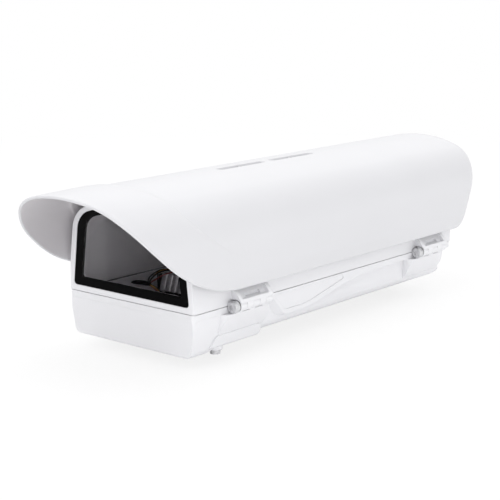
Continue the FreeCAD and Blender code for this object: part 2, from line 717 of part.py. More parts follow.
def socket_screw(x, start):
    """Screw along +Y whose head stands ahead of the first knuckle."""
    head_front = start - WASHER_THICK - HEAD_HEIGHT
    shank = rod(PIN_R, HEAD_HEIGHT / 2 + WASHER_THICK + KNUCKLE_COUNT * KNUCKLE_WIDTH + PIN_OVERRUN,
                V(x, start - WASHER_THICK - HEAD_HEIGHT / 2, PART_Z), V(0, 1, 0))
    head = rod(HEAD_R, HEAD_HEIGHT, V(x, head_front, PART_Z), V(0, 1, 0))
    socket = hexagon(SOCKET_AF, SOCKET_DEPTH + 1, V(0, 0, 0))
    socket.rotate(V(0, 0, 0), V(1, 0, 0), -90)
    socket.translate(V(x, head_front - 1, PART_Z))
    head = head.makeChamfer(0.6, [edge for edge in head.Edges
                                  if abs(edge.CenterOfMass.y - head_front) < 1e-3 and edge.isClosed()])
    return head.fuse(shank).cut(socket)


def screw_washer(x, start):
    ring = rod(WASHER_R, WASHER_THICK, V(x, start - WASHER_THICK, PART_Z), V(0, 1, 0))
    return ring.cut(rod(PIN_R, WASHER_THICK, V(x, start - WASHER_THICK, PART_Z), V(0, 1, 0)))


# Sunshield

def shield_corners():
    """Right half of the shield's section: hem, fold, side, shoulder and crown."""
    crown_angle = math.asin(SHIELD_CROWN_HALF / SHIELD_CROWN_R)
    side_angle = math.radians(SHIELD_SIDE_ANGLE)
    shoulder_z = SHIELD_CROWN_Z - SHIELD_CROWN_R * (1 - math.cos(crown_angle))
    end_x = SHIELD_CROWN_HALF + SHIELD_SHOULDER_R * (math.sin(side_angle) - math.sin(crown_angle))
    end_z = shoulder_z - SHIELD_SHOULDER_R * (math.cos(crown_angle) - math.cos(side_angle))
    reach = SHIELD_SHOULDER_R * math.tan((side_angle - crown_angle) / 2)
    corner_x = end_x - reach * math.cos(side_angle)
    corner_z = end_z + reach * math.sin(side_angle)
    apex_z = corner_z + corner_x * math.tan(crown_angle)
    fold_x = end_x + (end_z - SHIELD_FOLD_Z) / math.tan(side_angle)
    return [(SHIELD_HEM_X, up(SHIELD_HEM_Z - 60), 0), (SHIELD_HEM_X, up(SHIELD_HEM_Z), 0),
            (fold_x, up(SHIELD_FOLD_Z), 3.0), (corner_x, up(corner_z), SHIELD_SHOULDER_R),
            (0.0, up(apex_z), SHIELD_CROWN_R)]


def hood_edge(shift):
    """Side view of all that lies behind the hood's front edge, moved back by shift."""
    angle = math.radians(HOOD_EDGE_ANGLE)
    start = V(0, back(HOOD_EDGE_START + shift), up(SHIELD_HEM_Z))
    middle = start + V(0, -HOOD_EDGE_R * math.sin(angle / 2), HOOD_EDGE_R * (1 - math.cos(angle / 2)))
    end = start + V(0, -HOOD_EDGE_R * math.sin(angle), HOOD_EDGE_R * (1 - math.cos(angle)))
    tip_y = back(-HOOD_TIP + shift)
    tip = V(0, tip_y, end.z + (end.y - tip_y) * math.tan(angle))
    return start, middle, end, tip


def behind_hood_edge(shift, rear):
    start, middle, end, tip = hood_edge(shift)
    top = up(SHIELD_CROWN_Z + 40)
    edges = [Part.Arc(start, middle, end).toShape(), Part.makeLine(end, tip),
             Part.makeLine(tip, V(0, tip.y, top)), Part.makeLine(V(0, tip.y, top), V(0, rear, top)),
             Part.makeLine(V(0, rear, top), V(0, rear, start.z)), Part.makeLine(V(0, rear, start.z), start)]
    face = Part.Face(Part.Wire(edges))
    face.translate(V(-2 * HALF, 0, 0))
    return face.extrude(V(4 * HALF, 0, 0))


def ahead_of_rear_edge():
    """Side view of all that lies ahead of the shield's slanting rear edge."""
    low = up(SHIELD_HEM_Z)
    corner = back(SHIELD_REAR_FOOT + SHIELD_REAR_CORNER_R)
    top = up(SHIELD_CROWN_Z)
    slope = (back(SHIELD_REAR_TOP) - corner) / (SHIELD_CROWN_Z - SHIELD_HEM_Z)
    above = 40.0
    return prism_x([(back(-3 * HOOD_TIP), low, 0), (corner, low, SHIELD_REAR_CORNER_R),
                    (back(SHIELD_REAR_TOP) + slope * above, top + above, 0),
                    (back(-3 * HOOD_TIP), top + above, 0)], -2 * HALF, 2 * HALF)


def shield_channel(y, width, length, z0, z1):
    half = width / 2
    return prism_z([(half, y - length / 2, half * 0.99), (half, y + length / 2, half * 0.99),
                    (-half, y + length / 2, half * 0.99), (-half, y - length / 2, half * 0.99)], z0, z1)


def make_sunshield():
    y0, y1 = back(-HOOD_TIP - 20), back(SHIELD_REAR_TOP + 60)
    outer = arch(shield_corners(), 0, y0, y1)
    inner = arch(shield_corners(), -SHIELD_WALL, y0, y1)
    lip = arch(shield_corners(), HOOD_LIP_RISE, y0, y1).cut(behind_hood_edge(HOOD_LIP_BACK, y1))
    body = outer.fuse(lip).cut(inner).common(behind_hood_edge(0, y1)).common(ahead_of_rear_edge())
    crown = up(SHIELD_CROWN_Z)
    for y in channel_centres():
        trough = shield_channel(y, CHANNEL_WIDTH + 2 * CHANNEL_FLOOR, CHANNEL_LENGTH + 2 * CHANNEL_FLOOR,
                                channel_bottom(), crown - SHIELD_WALL + 0.5)
        body = body.fuse(trough)
        body = body.cut(shield_channel(y, CHANNEL_WIDTH, CHANNEL_LENGTH, crown - CHANNEL_DEPTH, crown + 5))
        body = body.cut(shield_channel(y, SLOT_WIDTH, SLOT_LENGTH, channel_bottom() - 1, crown))
    return body.removeSplitter()


def shield_screw(y):
    seat = up(SHIELD_CROWN_Z) - CHANNEL_DEPTH
    shank = rod(SHIELD_SCREW_R, SHIELD_SCREW_DEPTH + CHANNEL_FLOOR,
                V(0, y, channel_bottom() - SHIELD_SCREW_DEPTH + 0.3), V(0, 0, 1))
    head = rod(SHIELD_HEAD_R, SHIELD_HEAD_HEIGHT, V(0, y, seat + 0.1), V(0, 0, 1))
    recess = hexagon(2.5, 1.2, V(0, y, seat + SHIELD_HEAD_HEIGHT - 0.9))
    return head.fuse(shank).cut(recess)


# Underside fittings

def accessory_screw(side):
    x, y, z = accessory_screw_seat()
    low = z - PAD_WASHER_THICK - PAD_HEAD_HEIGHT
    head = rod(PAD_HEAD_R, PAD_HEAD_HEIGHT, V(side * x, y, low), V(0, 0, 1))
    shank = rod(PAD_SHANK_R, PAD_WASHER_THICK + PAD_SHANK_LENGTH - 1 + PAD_HEAD_HEIGHT / 2,
                V(side * x, y, low + PAD_HEAD_HEIGHT / 2), V(0, 0, 1))
    socket = hexagon(4.0, 2.0, V(side * x, y, low - 0.1))
    return head.fuse(shank).cut(socket)


def accessory_washer(side):
    x, y, z = accessory_screw_seat()
    start = V(side * x, y, z - PAD_WASHER_THICK)
    ring = rod(PAD_WASHER_R, PAD_WASHER_THICK, start, V(0, 0, 1))
    return ring.cut(rod(PAD_SHANK_R, PAD_WASHER_THICK, start, V(0, 0, 1)))


def gland_nut_top():
    """Underside of the gland body's hexagon, where the cap nut begins."""
    return GLAND_LAND - GLAND_HEX_HEIGHT


def make_gland_body():
    x, y = gland_centres()[1]
    low = gland_nut_top()
    hexa = hexagon(GLAND_HEX_AF, GLAND_HEX_HEIGHT, V(x, y, low))
    stub = rod(GLAND_THREAD_R, GLAND_HEX_HEIGHT + GLAND_STUB, V(x, y, low), V(0, 0, 1))
    collar = rod(GLAND_COLLAR_R, GLAND_COLLAR_DROP, V(x, y, low - GLAND_COLLAR_DROP), V(0, 0, 1))
    bore = rod(GLAND_BORE_R, 4 * GLAND_HEX_HEIGHT + GLAND_STUB, V(x, y, low - 2 * GLAND_HEX_HEIGHT), V(0, 0, 1))
    return hexa.fuse([stub, collar]).cut(bore)


def make_gland_nut():
    x, y = gland_centres()[1]
    top = gland_nut_top()
    low = top - GLAND_DOME_HEIGHT
    seal_low = low + GLAND_NUT_LIP
    profile = [V(GLAND_BORE_R, 0, low), V(GLAND_DOME_R - GLAND_DOME_TAPER, 0, low),
               V(GLAND_DOME_R, 0, low + 2 * GLAND_DOME_TAPER), V(GLAND_DOME_R, 0, top),
               V(GLAND_COLLAR_R, 0, top), V(GLAND_COLLAR_R, 0, seal_low), V(GLAND_BORE_R, 0, seal_low)]
    face = Part.Face(Part.makePolygon(profile + [profile[0]]))
    nut = face.revolve(V(0, 0, 0), V(0, 0, 1), 360)
    nut.translate(V(x, y, 0))
    return nut


def make_gland_seal():
    x, y = gland_centres()[1]
    low = gland_nut_top() - GLAND_DOME_HEIGHT + GLAND_NUT_LIP
    height = GLAND_DOME_HEIGHT - GLAND_NUT_LIP - GLAND_COLLAR_DROP
    ring = rod(GLAND_COLLAR_R, height, V(x, y, low), V(0, 0, 1))
    return ring.cut(rod(GLAND_BORE_R - GLAND_SEAL_GRIP, height, V(x, y, low), V(0, 0, 1)))


def make_gland_locknut():
    x, y = gland_centres()[1]
    nut = hexagon(LOCKNUT_AF, LOCKNUT_HEIGHT, V(x, y, TRAY_WALL))
    return nut.cut(rod(GLAND_THREAD_R, 10, V(x, y, 0), V(0, 0, 1)))


def blanking_plug(x, y):
    seat = GLAND_LAND - PLUG_WASHER_THICK
    head = hexagon(GLAND_HEX_AF, PLUG_HEAD_HEIGHT, V(x, y, seat - PLUG_HEAD_HEIGHT))
    stub = rod(GLAND_THREAD_R, PLUG_WASHER_THICK + PLUG_STUB, V(x, y, seat), V(0, 0, 1))
    return head.fuse(stub)


def plug_washer(x, y):
    seat = V(x, y, GLAND_LAND - PLUG_WASHER_THICK)
    ring = rod(PLUG_WASHER_R, PLUG_WASHER_THICK, seat, V(0, 0, 1))
    return ring.cut(rod(GLAND_THREAD_R, PLUG_WASHER_THICK, seat, V(0, 0, 1)))


# Inner fittings

def plate_z():
    return TRAY_WALL + PLATE_POST_HEIGHT


def make_camera_plate():
    half = CAMERA_PLATE_WIDTH / 2
    y0, y1 = back(CAMERA_PLATE_FRONT), back(CAMERA_PLATE_FRONT + CAMERA_PLATE_LENGTH)
    plate = prism_z([(half, y0, 4.0), (half, y1, 4.0), (-half, y1, 4.0), (-half, y0, 4.0)],
                    plate_z(), plate_z() + CAMERA_PLATE_THICK)
    lips = [box(side * half - (CAMERA_PLATE_THICK if side > 0 else 0),
                side * half + (0 if side > 0 else CAMERA_PLATE_THICK),
                y0 + 6, y1 - 6, plate_z() + 0.5, plate_z() + CAMERA_PLATE_LIP) for side in (-1, 1)]
    middle = (y0 + y1) / 2
    slot = shield_channel(middle, CAMERA_SLOT_WIDTH, CAMERA_SLOT_LENGTH, plate_z() - 1, plate_z() + 10)
    holes = [rod(PLATE_SCREW_R, 10, V(x, y, plate_z() - 2), V(0, 0, 1)) for x, y in plate_post_centres()]
    return plate.fuse(lips).cut([slot] + holes).removeSplitter()


def hex_screw(x, y, seat, depth):
    """Small hexagon head screw whose head stands on seat."""
    shank = rod(PLATE_SCREW_R, depth + 1, V(x, y, seat - depth), V(0, 0, 1))
    return hexagon(PLATE_SCREW_AF, PLATE_SCREW_HEAD, V(x, y, seat)).fuse(shank)


def make_camera_screw():
    """Camera fixing screw: coin slot head under the plate, thin neck through it, thread above."""
    y = back(CAMERA_PLATE_FRONT + CAMERA_PLATE_LENGTH / 2)
    low = plate_z() - CAMERA_HEAD_HEIGHT
    thread_z = plate_z() + CAMERA_PLATE_THICK + CAMERA_NECK_RISE
    neck = rod(CAMERA_NECK_R, thread_z - low, V(0, y, low + COIN_SLOT), V(0, 0, 1))
    thread = rod(CAMERA_SCREW_R, CAMERA_STUD_LENGTH, V(0, y, thread_z), V(0, 0, 1))
    head = rod(CAMERA_HEAD_R, CAMERA_HEAD_HEIGHT, V(0, y, low), V(0, 0, 1))
    coin = box(-CAMERA_HEAD_R, CAMERA_HEAD_R, y - COIN_SLOT / 2, y + COIN_SLOT / 2, low - 1, low + COIN_SLOT)
    return head.fuse([neck, thread]).cut(coin)


def board_z():
    return TRAY_WALL + BOARD_GAP


def make_terminal_board():
    y0, y1 = board_span()
    half = BOARD_WIDTH / 2
    board = box(-half, half, y0, y1, board_z(), board_z() + BOARD_THICK)
    holes = [rod(PLATE_SCREW_R, 10, V(x, y, board_z() - 2), V(0, 0, 1)) for x, y in board_post_centres()]
    return board.cut(holes)


def make_terminal_block():
    """Row of screw terminals on the board, wire mouths to the front."""
    y0, y1 = board_span()
    width = TERMINAL_WAYS * TERMINAL_PITCH
    low = board_z() + BOARD_THICK
    front = (y0 + y1) / 2 - TERMINAL_DEPTH / 2
    block = prism_x([(front, low, 0), (front, low + TERMINAL_HEIGHT * 0.6, 0.5),
                     (front + 2.0, low + TERMINAL_HEIGHT, 0.5),
                     (front + TERMINAL_DEPTH, low + TERMINAL_HEIGHT, 0.5), (front + TERMINAL_DEPTH, low, 0)],
                    -width / 2, width / 2)
    cuts = []
    for i in range(TERMINAL_WAYS):
        x = -width / 2 + (i + 0.5) * TERMINAL_PITCH
        cuts.append(box(x - 1.6, x + 1.6, front - 1, front + 5, low + 1.2, low + 4.4))
        cuts.append(box(x - 1.4, x + 1.4, front + 3.6, front + 6.4, low + TERMINAL_HEIGHT - 2.0,
                        low + TERMINAL_HEIGHT + 1))
    return block.cut(cuts)


def make_all():
    starts = hinge_starts()
    nodes = {
        "base_tray": make_base_tray(),
        "lid_shell": make_lid_shell(),
        "sunshield": make_sunshield(),
        "window_glass": make_window_glass(),
        "window_gasket": make_window_gasket(),
        "body_seal": make_body_seal(),
        "hinge_screws": Part.makeCompound([socket_screw(HINGE_X, s) for s in starts]),
        "hinge_washers": Part.makeCompound([screw_washer(HINGE_X, s) for s in starts]),
        "closing_screw_front": socket_screw(-HINGE_X, starts[0]),
        "closing_screw_rear": socket_screw(-HINGE_X, starts[1]),
        "closing_washer_front": screw_washer(-HINGE_X, starts[0]),
        "closing_washer_rear": screw_washer(-HINGE_X, starts[1]),
        "shield_screws": Part.makeCompound([shield_screw(y) for y in channel_centres()]),
        "accessory_screws": Part.makeCompound([accessory_screw(s) for s in (-1, 1)]),
        "accessory_washers": Part.makeCompound([accessory_washer(s) for s in (-1, 1)]),
        "gland_body": make_gland_body(),
        "gland_nut": make_gland_nut(),
        "gland_seal": make_gland_seal(),
        "gland_locknut": make_gland_locknut(),
        "blanking_plugs": Part.makeCompound([blanking_plug(*gland_centres()[i]) for i in (0, 2)]),
        "plug_washers": Part.makeCompound([plug_washer(*gland_centres()[i]) for i in (0, 2)]),
        "camera_plate": make_camera_plate(),
        "plate_screws": Part.makeCompound([hex_screw(x, y, plate_z() + CAMERA_PLATE_THICK, PLATE_SCREW_DEPTH)
                                           for x, y in plate_post_centres()]),
        "camera_screw": make_camera_screw(),
        "terminal_board": make_terminal_board(),
        "board_screws": Part.makeCompound([hex_screw(x, y, board_z() + BOARD_THICK, BOARD_SCREW_DEPTH)
                                           for x, y in board_post_centres()]),
        "terminal_block": make_terminal_block(),
    }
    return nodes


os.makedirs("parts", exist_ok=True)
for name, shape in make_all().items():
    box_of = shape.BoundBox
    print(name, "valid" if shape.isValid() else "NOT VALID", len(shape.Solids),
          round(shape.Volume), [round(v, 1) for v in (box_of.XMin, box_of.XMax, box_of.YMin,
                                                     box_of.YMax, box_of.ZMin, box_of.ZMax)])
    shape.exportStep("parts/" + name + ".step")
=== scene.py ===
"""Looks of a side-opening camera housing: finishes, sunshield, inside, studio and camera.

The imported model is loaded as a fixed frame. Everything is in metres in the
frame's own axes: +Z up, the window faces -Y and the hinges are at +X.
"""

import logging
import math
from dataclasses import dataclass
from enum import Enum

import bmesh
import bpy
import numpy as np
from mathutils import Euler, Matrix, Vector

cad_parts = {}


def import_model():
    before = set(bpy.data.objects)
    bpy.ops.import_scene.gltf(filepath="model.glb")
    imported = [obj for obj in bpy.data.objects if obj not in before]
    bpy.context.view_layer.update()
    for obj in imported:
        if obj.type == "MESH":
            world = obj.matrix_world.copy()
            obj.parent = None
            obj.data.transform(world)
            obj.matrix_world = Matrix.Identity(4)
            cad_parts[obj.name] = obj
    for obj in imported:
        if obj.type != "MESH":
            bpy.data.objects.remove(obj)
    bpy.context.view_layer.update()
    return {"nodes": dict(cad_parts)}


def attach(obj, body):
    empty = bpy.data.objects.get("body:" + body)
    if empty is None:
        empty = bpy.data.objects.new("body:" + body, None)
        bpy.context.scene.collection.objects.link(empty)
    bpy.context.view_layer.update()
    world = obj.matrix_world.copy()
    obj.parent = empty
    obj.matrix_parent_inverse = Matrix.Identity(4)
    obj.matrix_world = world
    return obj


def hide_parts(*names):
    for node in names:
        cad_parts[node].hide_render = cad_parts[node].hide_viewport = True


LOG = logging.getLogger("housing")
MM = 0.001
# The body's front and the parting plane in the frame, in millimetres.
FRONT_Y = -190.5
PART_Z = 31.0
# The printed border: the gasket's form, flattened and moved just ahead of the pane.
PANE_THICK = 0.003
PRINT_SQUASH = 0.05
PRINT_GAP = 0.00012
# Shading that every finish shares.
BUMP_DISTANCE = 0.0002
BEVEL_SAMPLES = 6
WHITE = (1.0, 1.0, 1.0)

Grid = np.ndarray
Pair = tuple[float, float]
Triple = tuple[float, float, float]
Colour = Triple
Node = bpy.types.Node
Tree = bpy.types.NodeTree
Socket = bpy.types.NodeSocket


class Slot(Enum):
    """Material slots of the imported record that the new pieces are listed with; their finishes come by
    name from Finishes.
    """

    SHIELD = "shield_polymer"
    RUBBER = "black_rubber"
    BRIGHT = "bright_steel"
    NYLON = "black_nylon"


class Body(Enum):
    """Bodies of the frame that the pieces ride on."""

    BASE = "base"
    LID = "lid"
    SHIELD = "shield"


def linear(level: float) -> float:
    """Turn a display level from 0 to 1 into a linear colour value.

    Args:
        level: brightness as it is seen on a screen.

    Returns:
        The value that a shader needs for that brightness.
    """
    return level / 12.92 if level <= 0.04045 else ((level + 0.055) / 1.055) ** 2.4


def seen(red: int, green: int, blue: int) -> Colour:
    """Linear colour of a display colour given in levels from 0 to 255."""
    return linear(red / 255), linear(green / 255), linear(blue / 255)


def smooth_step(edge0: float, edge1: float, value: Grid) -> Grid:
    """Smooth rise from 0 at edge0 to 1 at edge1, by the cubic 3t^2 - 2t^3."""
    t = np.clip((value - edge0) / (edge1 - edge0), 0.0, 1.0)
    return t * t * (3.0 - 2.0 * t)


def in_frame(points: Grid) -> Grid:
    """Turn millimetres from the body's front and the parting plane into the frame's metres."""
    return (points + np.array([0.0, FRONT_Y, PART_Z])) * MM


def feed(tree: Tree, socket: Socket, value: float | Socket) -> None:
    """Give an input its value.

    Args:
        tree: the tree that holds the input.
        socket: the input.
        value: a number, or the output that holds it.
    """
    if isinstance(value, bpy.types.NodeSocket):
        tree.links.new(value, socket)
    else:
        socket.default_value = value


def fill(node: Node, values: dict[str, float | Colour]) -> None:
    """Set inputs of a node by name; a colour gets full alpha."""
    for key, value in values.items():
        node.inputs[key].default_value = (*value, 1.0) if isinstance(value, tuple) else value


def combined(tree: Tree, operation: str, first: float | Socket, second: float | Socket) -> Socket:
    """Join two values by a mathematical operation.

    Args:
        tree: the tree to build in.
        operation: name of the operation.
        first: number or socket.
        second: number or socket.

    Returns:
        The socket that holds the result.
    """
    node = tree.nodes.new("ShaderNodeMath")
    node.operation = operation
    feed(tree, node.inputs[0], first)
    feed(tree, node.inputs[1], second)
    return node.outputs[0]


def mapped(tree: Tree, source: Socket, span: Pair, before: float | Socket,
           after: float | Socket, kind: str = "LINEAR") -> Socket:
    """Pass from one value to another while a source rises.

    Args:
        tree: the tree to build in.
        source: the value that decides.
        span: where the change starts and where it ends.
        before: value or socket below the span.
        after: value or socket above it.
        kind: how the change runs, LINEAR or SMOOTHSTEP.

    Returns:
        The socket that holds the result.
    """
    node = tree.nodes.new("ShaderNodeMapRange")
    node.interpolation_type = kind
    for socket, value in zip(node.inputs[:5], (source, *span, before, after)):
        feed(tree, socket, value)
    return node.outputs[0]


def mixed(tree: Tree, share: Socket, first: Socket, second: Socket) -> Socket:
    """Mix two shaders.

    Args:
        tree: the tree to build in.
        share: how much of the second shows.
        first: the shader at share 0.
        second: the shader at share 1.

    Returns:
        The mixed shader.
    """
    node = tree.nodes.new("ShaderNodeMixShader")
    for socket, source in zip(node.inputs, (share, first, second)):
        tree.links.new(source, socket)
    return node.outputs[0]


class GroupKit:
    """Shader node groups that several finishes share, each built once."""

    SPREAD = (0.3, 0.7)

    def __init__(self) -> None:
        """Build the two groups."""
        self.grain = self.moulded_grain()
        self.turned = self.turned_metal()

    @staticmethod
    def new_group(name: str, inputs: dict[str, float | Colour]) -> Tree:
        """Make an empty group that puts out Color, Roughness and Height.

        Args:
            name: the group's name.
            inputs: default of each input, a number or a colour.

        Returns:
            The new node tree with its input and output nodes.
        """
        tree = bpy.data.node_groups.new(name, "ShaderNodeTree")
        for key, value in inputs.items():
            kind = "NodeSocketColor" if isinstance(value, tuple) else "NodeSocketFloat"
            socket = tree.interface.new_socket(name=key, in_out="INPUT", socket_type=kind)
            socket.default_value = (*value, 1.0) if isinstance(value, tuple) else value
        for key in ("Color", "Roughness", "Height"):
            kind = "NodeSocketColor" if key == "Color" else "NodeSocketFloat"
            tree.interface.new_socket(name=key, in_out="OUTPUT", socket_type=kind)
        tree.nodes.new("NodeGroupInput").name = "in"
        tree.nodes.new("NodeGroupOutput").name = "out"
        return tree

    @staticmethod
    def noise(tree: Tree, scale: float | Socket, detail: float = 2.0, rough: float = 0.5) -> Socket:
        """Noise over a piece's own coordinates.

        Args:
            tree: the tree to build in.
            scale: number or socket, in spots per metre.
            detail: how many finer layers it has.
            rough: how strong the finer layers are.

        Returns:
            The socket that holds the noise.
        """
        place = tree.nodes.new("ShaderNodeTexCoord")
        node = tree.nodes.new("ShaderNodeTexNoise")
        tree.links.new(place.outputs["Object"], node.inputs["Vector"])
        for key, value in (("Scale", scale), ("Detail", detail), ("Roughness", rough)):
            feed(tree, node.inputs[key], value)
        return node.outputs["Fac"]

    @staticmethod
    def put_out(tree: Tree, tone: Socket, gloss: Socket, height: Socket) -> Tree:
        """Scale the group's Base and Gloss and put them out with the height.

        Args:
            tree: the group.
            tone: what Base is multiplied by.
            gloss: what Gloss is multiplied by.
            height: the relief.

        Returns:
            The finished group.
        """
        given, out = tree.nodes["in"].outputs, tree.nodes["out"].inputs
        tint = tree.nodes.new("ShaderNodeVectorMath")
        tint.operation = "SCALE"
        tree.links.new(given["Base"], tint.inputs[0])
        tree.links.new(tone, tint.inputs["Scale"])
        tree.links.new(tint.outputs[0], out["Color"])
        tree.links.new(combined(tree, "MULTIPLY", gloss, given["Gloss"]), out["Roughness"])
        tree.links.new(height, out["Height"])
        return tree

    def moulded_grain(self) -> Tree:
        """Fine pitted grain of a moulded plastic, with a faint wander of tone and gloss.

        Returns:
            A group with inputs Base, Grain Size, Tone and Gloss.
        """
        tree = self.new_group("moulded_grain", {"Base": (0.8, 0.8, 0.8), "Grain Size": 900.0,
                                                "Tone": 0.02, "Gloss": 0.4})
        given = tree.nodes["in"].outputs
        fine = self.noise(tree, given["Grain Size"], detail=3.0, rough=0.6)
        broad = self.noise(tree, 14.0)
        shift = combined(tree, "MULTIPLY", mapped(tree, broad, self.SPREAD, -1.0, 0.0), given["Tone"])
        gloss = mapped(tree, fine, self.SPREAD, 0.92, 1.08)
        return self.put_out(tree, combined(tree, "ADD", shift, 1.0), gloss, fine)

    def turned_metal(self) -> Tree:
        """Fine marks and a mottled tone, for turned and rolled metal.

        Returns:
            A group with inputs Base and Gloss.
        """
        tree = self.new_group("turned_metal", {"Base": (0.4, 0.4, 0.4), "Gloss": 0.35})
        marks = self.noise(tree, 1400.0, detail=4.0)
        tone = mapped(tree, self.noise(tree, 350.0), self.SPREAD, 0.82, 1.1)
        return self.put_out(tree, tone, mapped(tree, marks, self.SPREAD, 0.8, 1.2), marks)


@dataclass(frozen=True)
class PlasticFinish:
    """Moulded plastic or rubber: a grain, a gloss and a colour."""

    name: str
    colour: Colour
    gloss: float = 0.4
    grain_size: float = 900.0
    grain_depth: float = 0.05
    tone: float = 0.02
    specular: float = 0.5
    edge: float = 0.0

    def make(self, kit: GroupKit) -> bpy.types.Material:
        """Build the material.

        Args:
            kit: the shared node groups.

        Returns:
            The finished material.
        """
        material, shader = new_material(self.name)
        group = add_group(material.node_tree, kit.grain, {
            "Base": self.colour, "Grain Size": self.grain_size, "Tone": self.tone, "Gloss": self.gloss})
        fill(shader, {"Specular IOR Level": self.specular})
        link_surface(material.node_tree, group, shader, self.grain_depth, self.edge)
        return material


@dataclass(frozen=True)
class MetalFinish:
    """Turned or rolled metal."""

    name: str
    colour: Colour
    gloss: float = 0.35
    depth: float = 0.02

    def make(self, kit: GroupKit) -> bpy.types.Material:
        """Build the material.

        Args:
            kit: the shared node groups.

        Returns:
            The finished material.
        """
        material, shader = new_material(self.name)
        group = add_group(material.node_tree, kit.turned, {"Base": self.colour, "Gloss": self.gloss})
        fill(shader, {"Metallic": 1.0})
        link_surface(material.node_tree, group, shader, self.depth)
        return material


@dataclass(frozen=True)
class GlassFinish:
    """Clear polished pane; light that only passes through isn't bent, so the inside is lit."""

    name: str
    colour: Colour = (0.97, 0.955, 0.965)
    gloss: float = 0.02
    ior: float = 1.49

    def make(self, _kit: GroupKit) -> bpy.types.Material:
        """Build the material, which needs none of the shared groups.

        Returns:
            The finished material.
        """
        material, shader = new_material(self.name)
        tree = material.node_tree
        fill(shader, {"Base Color": self.colour, "Roughness": self.gloss,
                      "Transmission Weight": 1.0, "IOR": self.ior})
        clear = tree.nodes.new("ShaderNodeBsdfTransparent")
        fill(clear, {"Color": self.colour})
        path = tree.nodes.new("ShaderNodeLightPath")
        chosen = mixed(tree, path.outputs["Is Shadow Ray"], shader.outputs[0], clear.outputs[0])
        tree.links.new(chosen, tree.nodes["Material Output"].inputs["Surface"])
        return material


def new_material(name: str) -> tuple[bpy.types.Material, Node]:
    """Make a node material.

    Args:
        name: the material's name.

    Returns:
        The material and its main shader.
    """
    material = bpy.data.materials.new(name)
    material.use_nodes = True
    return material, material.node_tree.nodes["Principled BSDF"]


def add_group(tree: Tree, group: Tree, values: dict[str, float | Colour]) -> Node:
    """Place a shared group in a material.

    Args:
        tree: the material's node tree.
        group: the shared group.
        values: the values of its inputs.

    Returns:
        The group's node.
    """
    node = tree.nodes.new("ShaderNodeGroup")
    node.node_tree = group
    fill(node, values)
    return node


def link_surface(tree: Tree, group: Node, shader: Node, depth: float, edge: float = 0.0) -> None:
    """Join a group's colour, roughness and height to a shader.

    Args:
        tree: the material's node tree.
        group: a group node with outputs Color, Roughness and Height.
        shader: the main shader.
        depth: bump strength of the height.
        edge: radius in metres that softens hard edges, or 0.
    """
    tree.links.new(group.outputs["Color"], shader.inputs["Base Color"])
    tree.links.new(group.outputs["Roughness"], shader.inputs["Roughness"])
    bump = tree.nodes.new("ShaderNodeBump")
    fill(bump, {"Strength": depth, "Distance": BUMP_DISTANCE})
    tree.links.new(group.outputs["Height"], bump.inputs["Height"])
    tree.links.new(bump.outputs[0], shader.inputs["Normal"])
    if edge:
        soft = tree.nodes.new("ShaderNodeBevel")
        soft.samples = BEVEL_SAMPLES
        fill(soft, {"Radius": edge})
        tree.links.new(soft.outputs[0], bump.inputs["Normal"])


class Finishes:
    """Every material of the housing, by the name of its finish."""

    def __init__(self) -> None:
        """Build the groups and all the materials."""
        kit = GroupKit()
        finishes = [
            PlasticFinish("body_white", seen(230, 230, 233), 0.38, 1500.0, 0.12, 0.02, edge=0.0005),
            PlasticFinish("shield_white", seen(214, 214, 217), 0.34, 1100.0, 0.04, 0.015),
            PlasticFinish("seal_rubber", seen(18, 18, 19), 0.55, 2500.0, 0.2, 0.1, 0.3),
            PlasticFinish("seal_grey", seen(135, 135, 137), 0.6, 2500.0, 0.2, 0.1, 0.3),
            # The inner skin: the shield's white made darker, painted shade under the arch.
            PlasticFinish("shield_inside_painted_shade", seen(206, 203, 206), 0.5, 1100.0, 0.04, 0.015),
            PlasticFinish("border_black", seen(9, 9, 10), 0.45, 2500.0, 0.05, 0.05, 0.1),
            PlasticFinish("gland_nylon", seen(28, 28, 30), 0.45, 1800.0, 0.15, 0.08, edge=0.0004),
            PlasticFinish("board_lacquer", seen(28, 92, 56), 0.3, 500.0, 0.05, 0.2),
            PlasticFinish("terminal_plastic", seen(60, 140, 80), 0.35, 1500.0, 0.05, 0.1),
            MetalFinish("screw_metal", seen(214, 214, 216), 0.55),
            MetalFinish("bright_metal", seen(205, 205, 208), 0.25),
            MetalFinish("plate_metal", seen(226, 226, 229), 0.5, 0.05),
            MetalFinish("heater_metal", seen(232, 231, 234), 0.42),
            PlasticFinish("lead_black", seen(16, 16, 17), 0.25, 2500.0, 0.05, 0.1),
            PlasticFinish("lead_amber", seen(190, 152, 92), 0.35, 2500.0, 0.05, 0.05),
            PlasticFinish("lead_red", seen(160, 92, 88), 0.35, 2500.0, 0.05, 0.05),
            GlassFinish("pane_clear"),
        ]
        self.by_name = {finish.name: finish.make(kit) for finish in finishes}

    def dress(self, piece: bpy.types.Object, name: str) -> None:
        """Give a piece one of the finishes, in place of what it has."""
        piece.data.materials.clear()
        piece.data.materials.append(self.by_name[name])


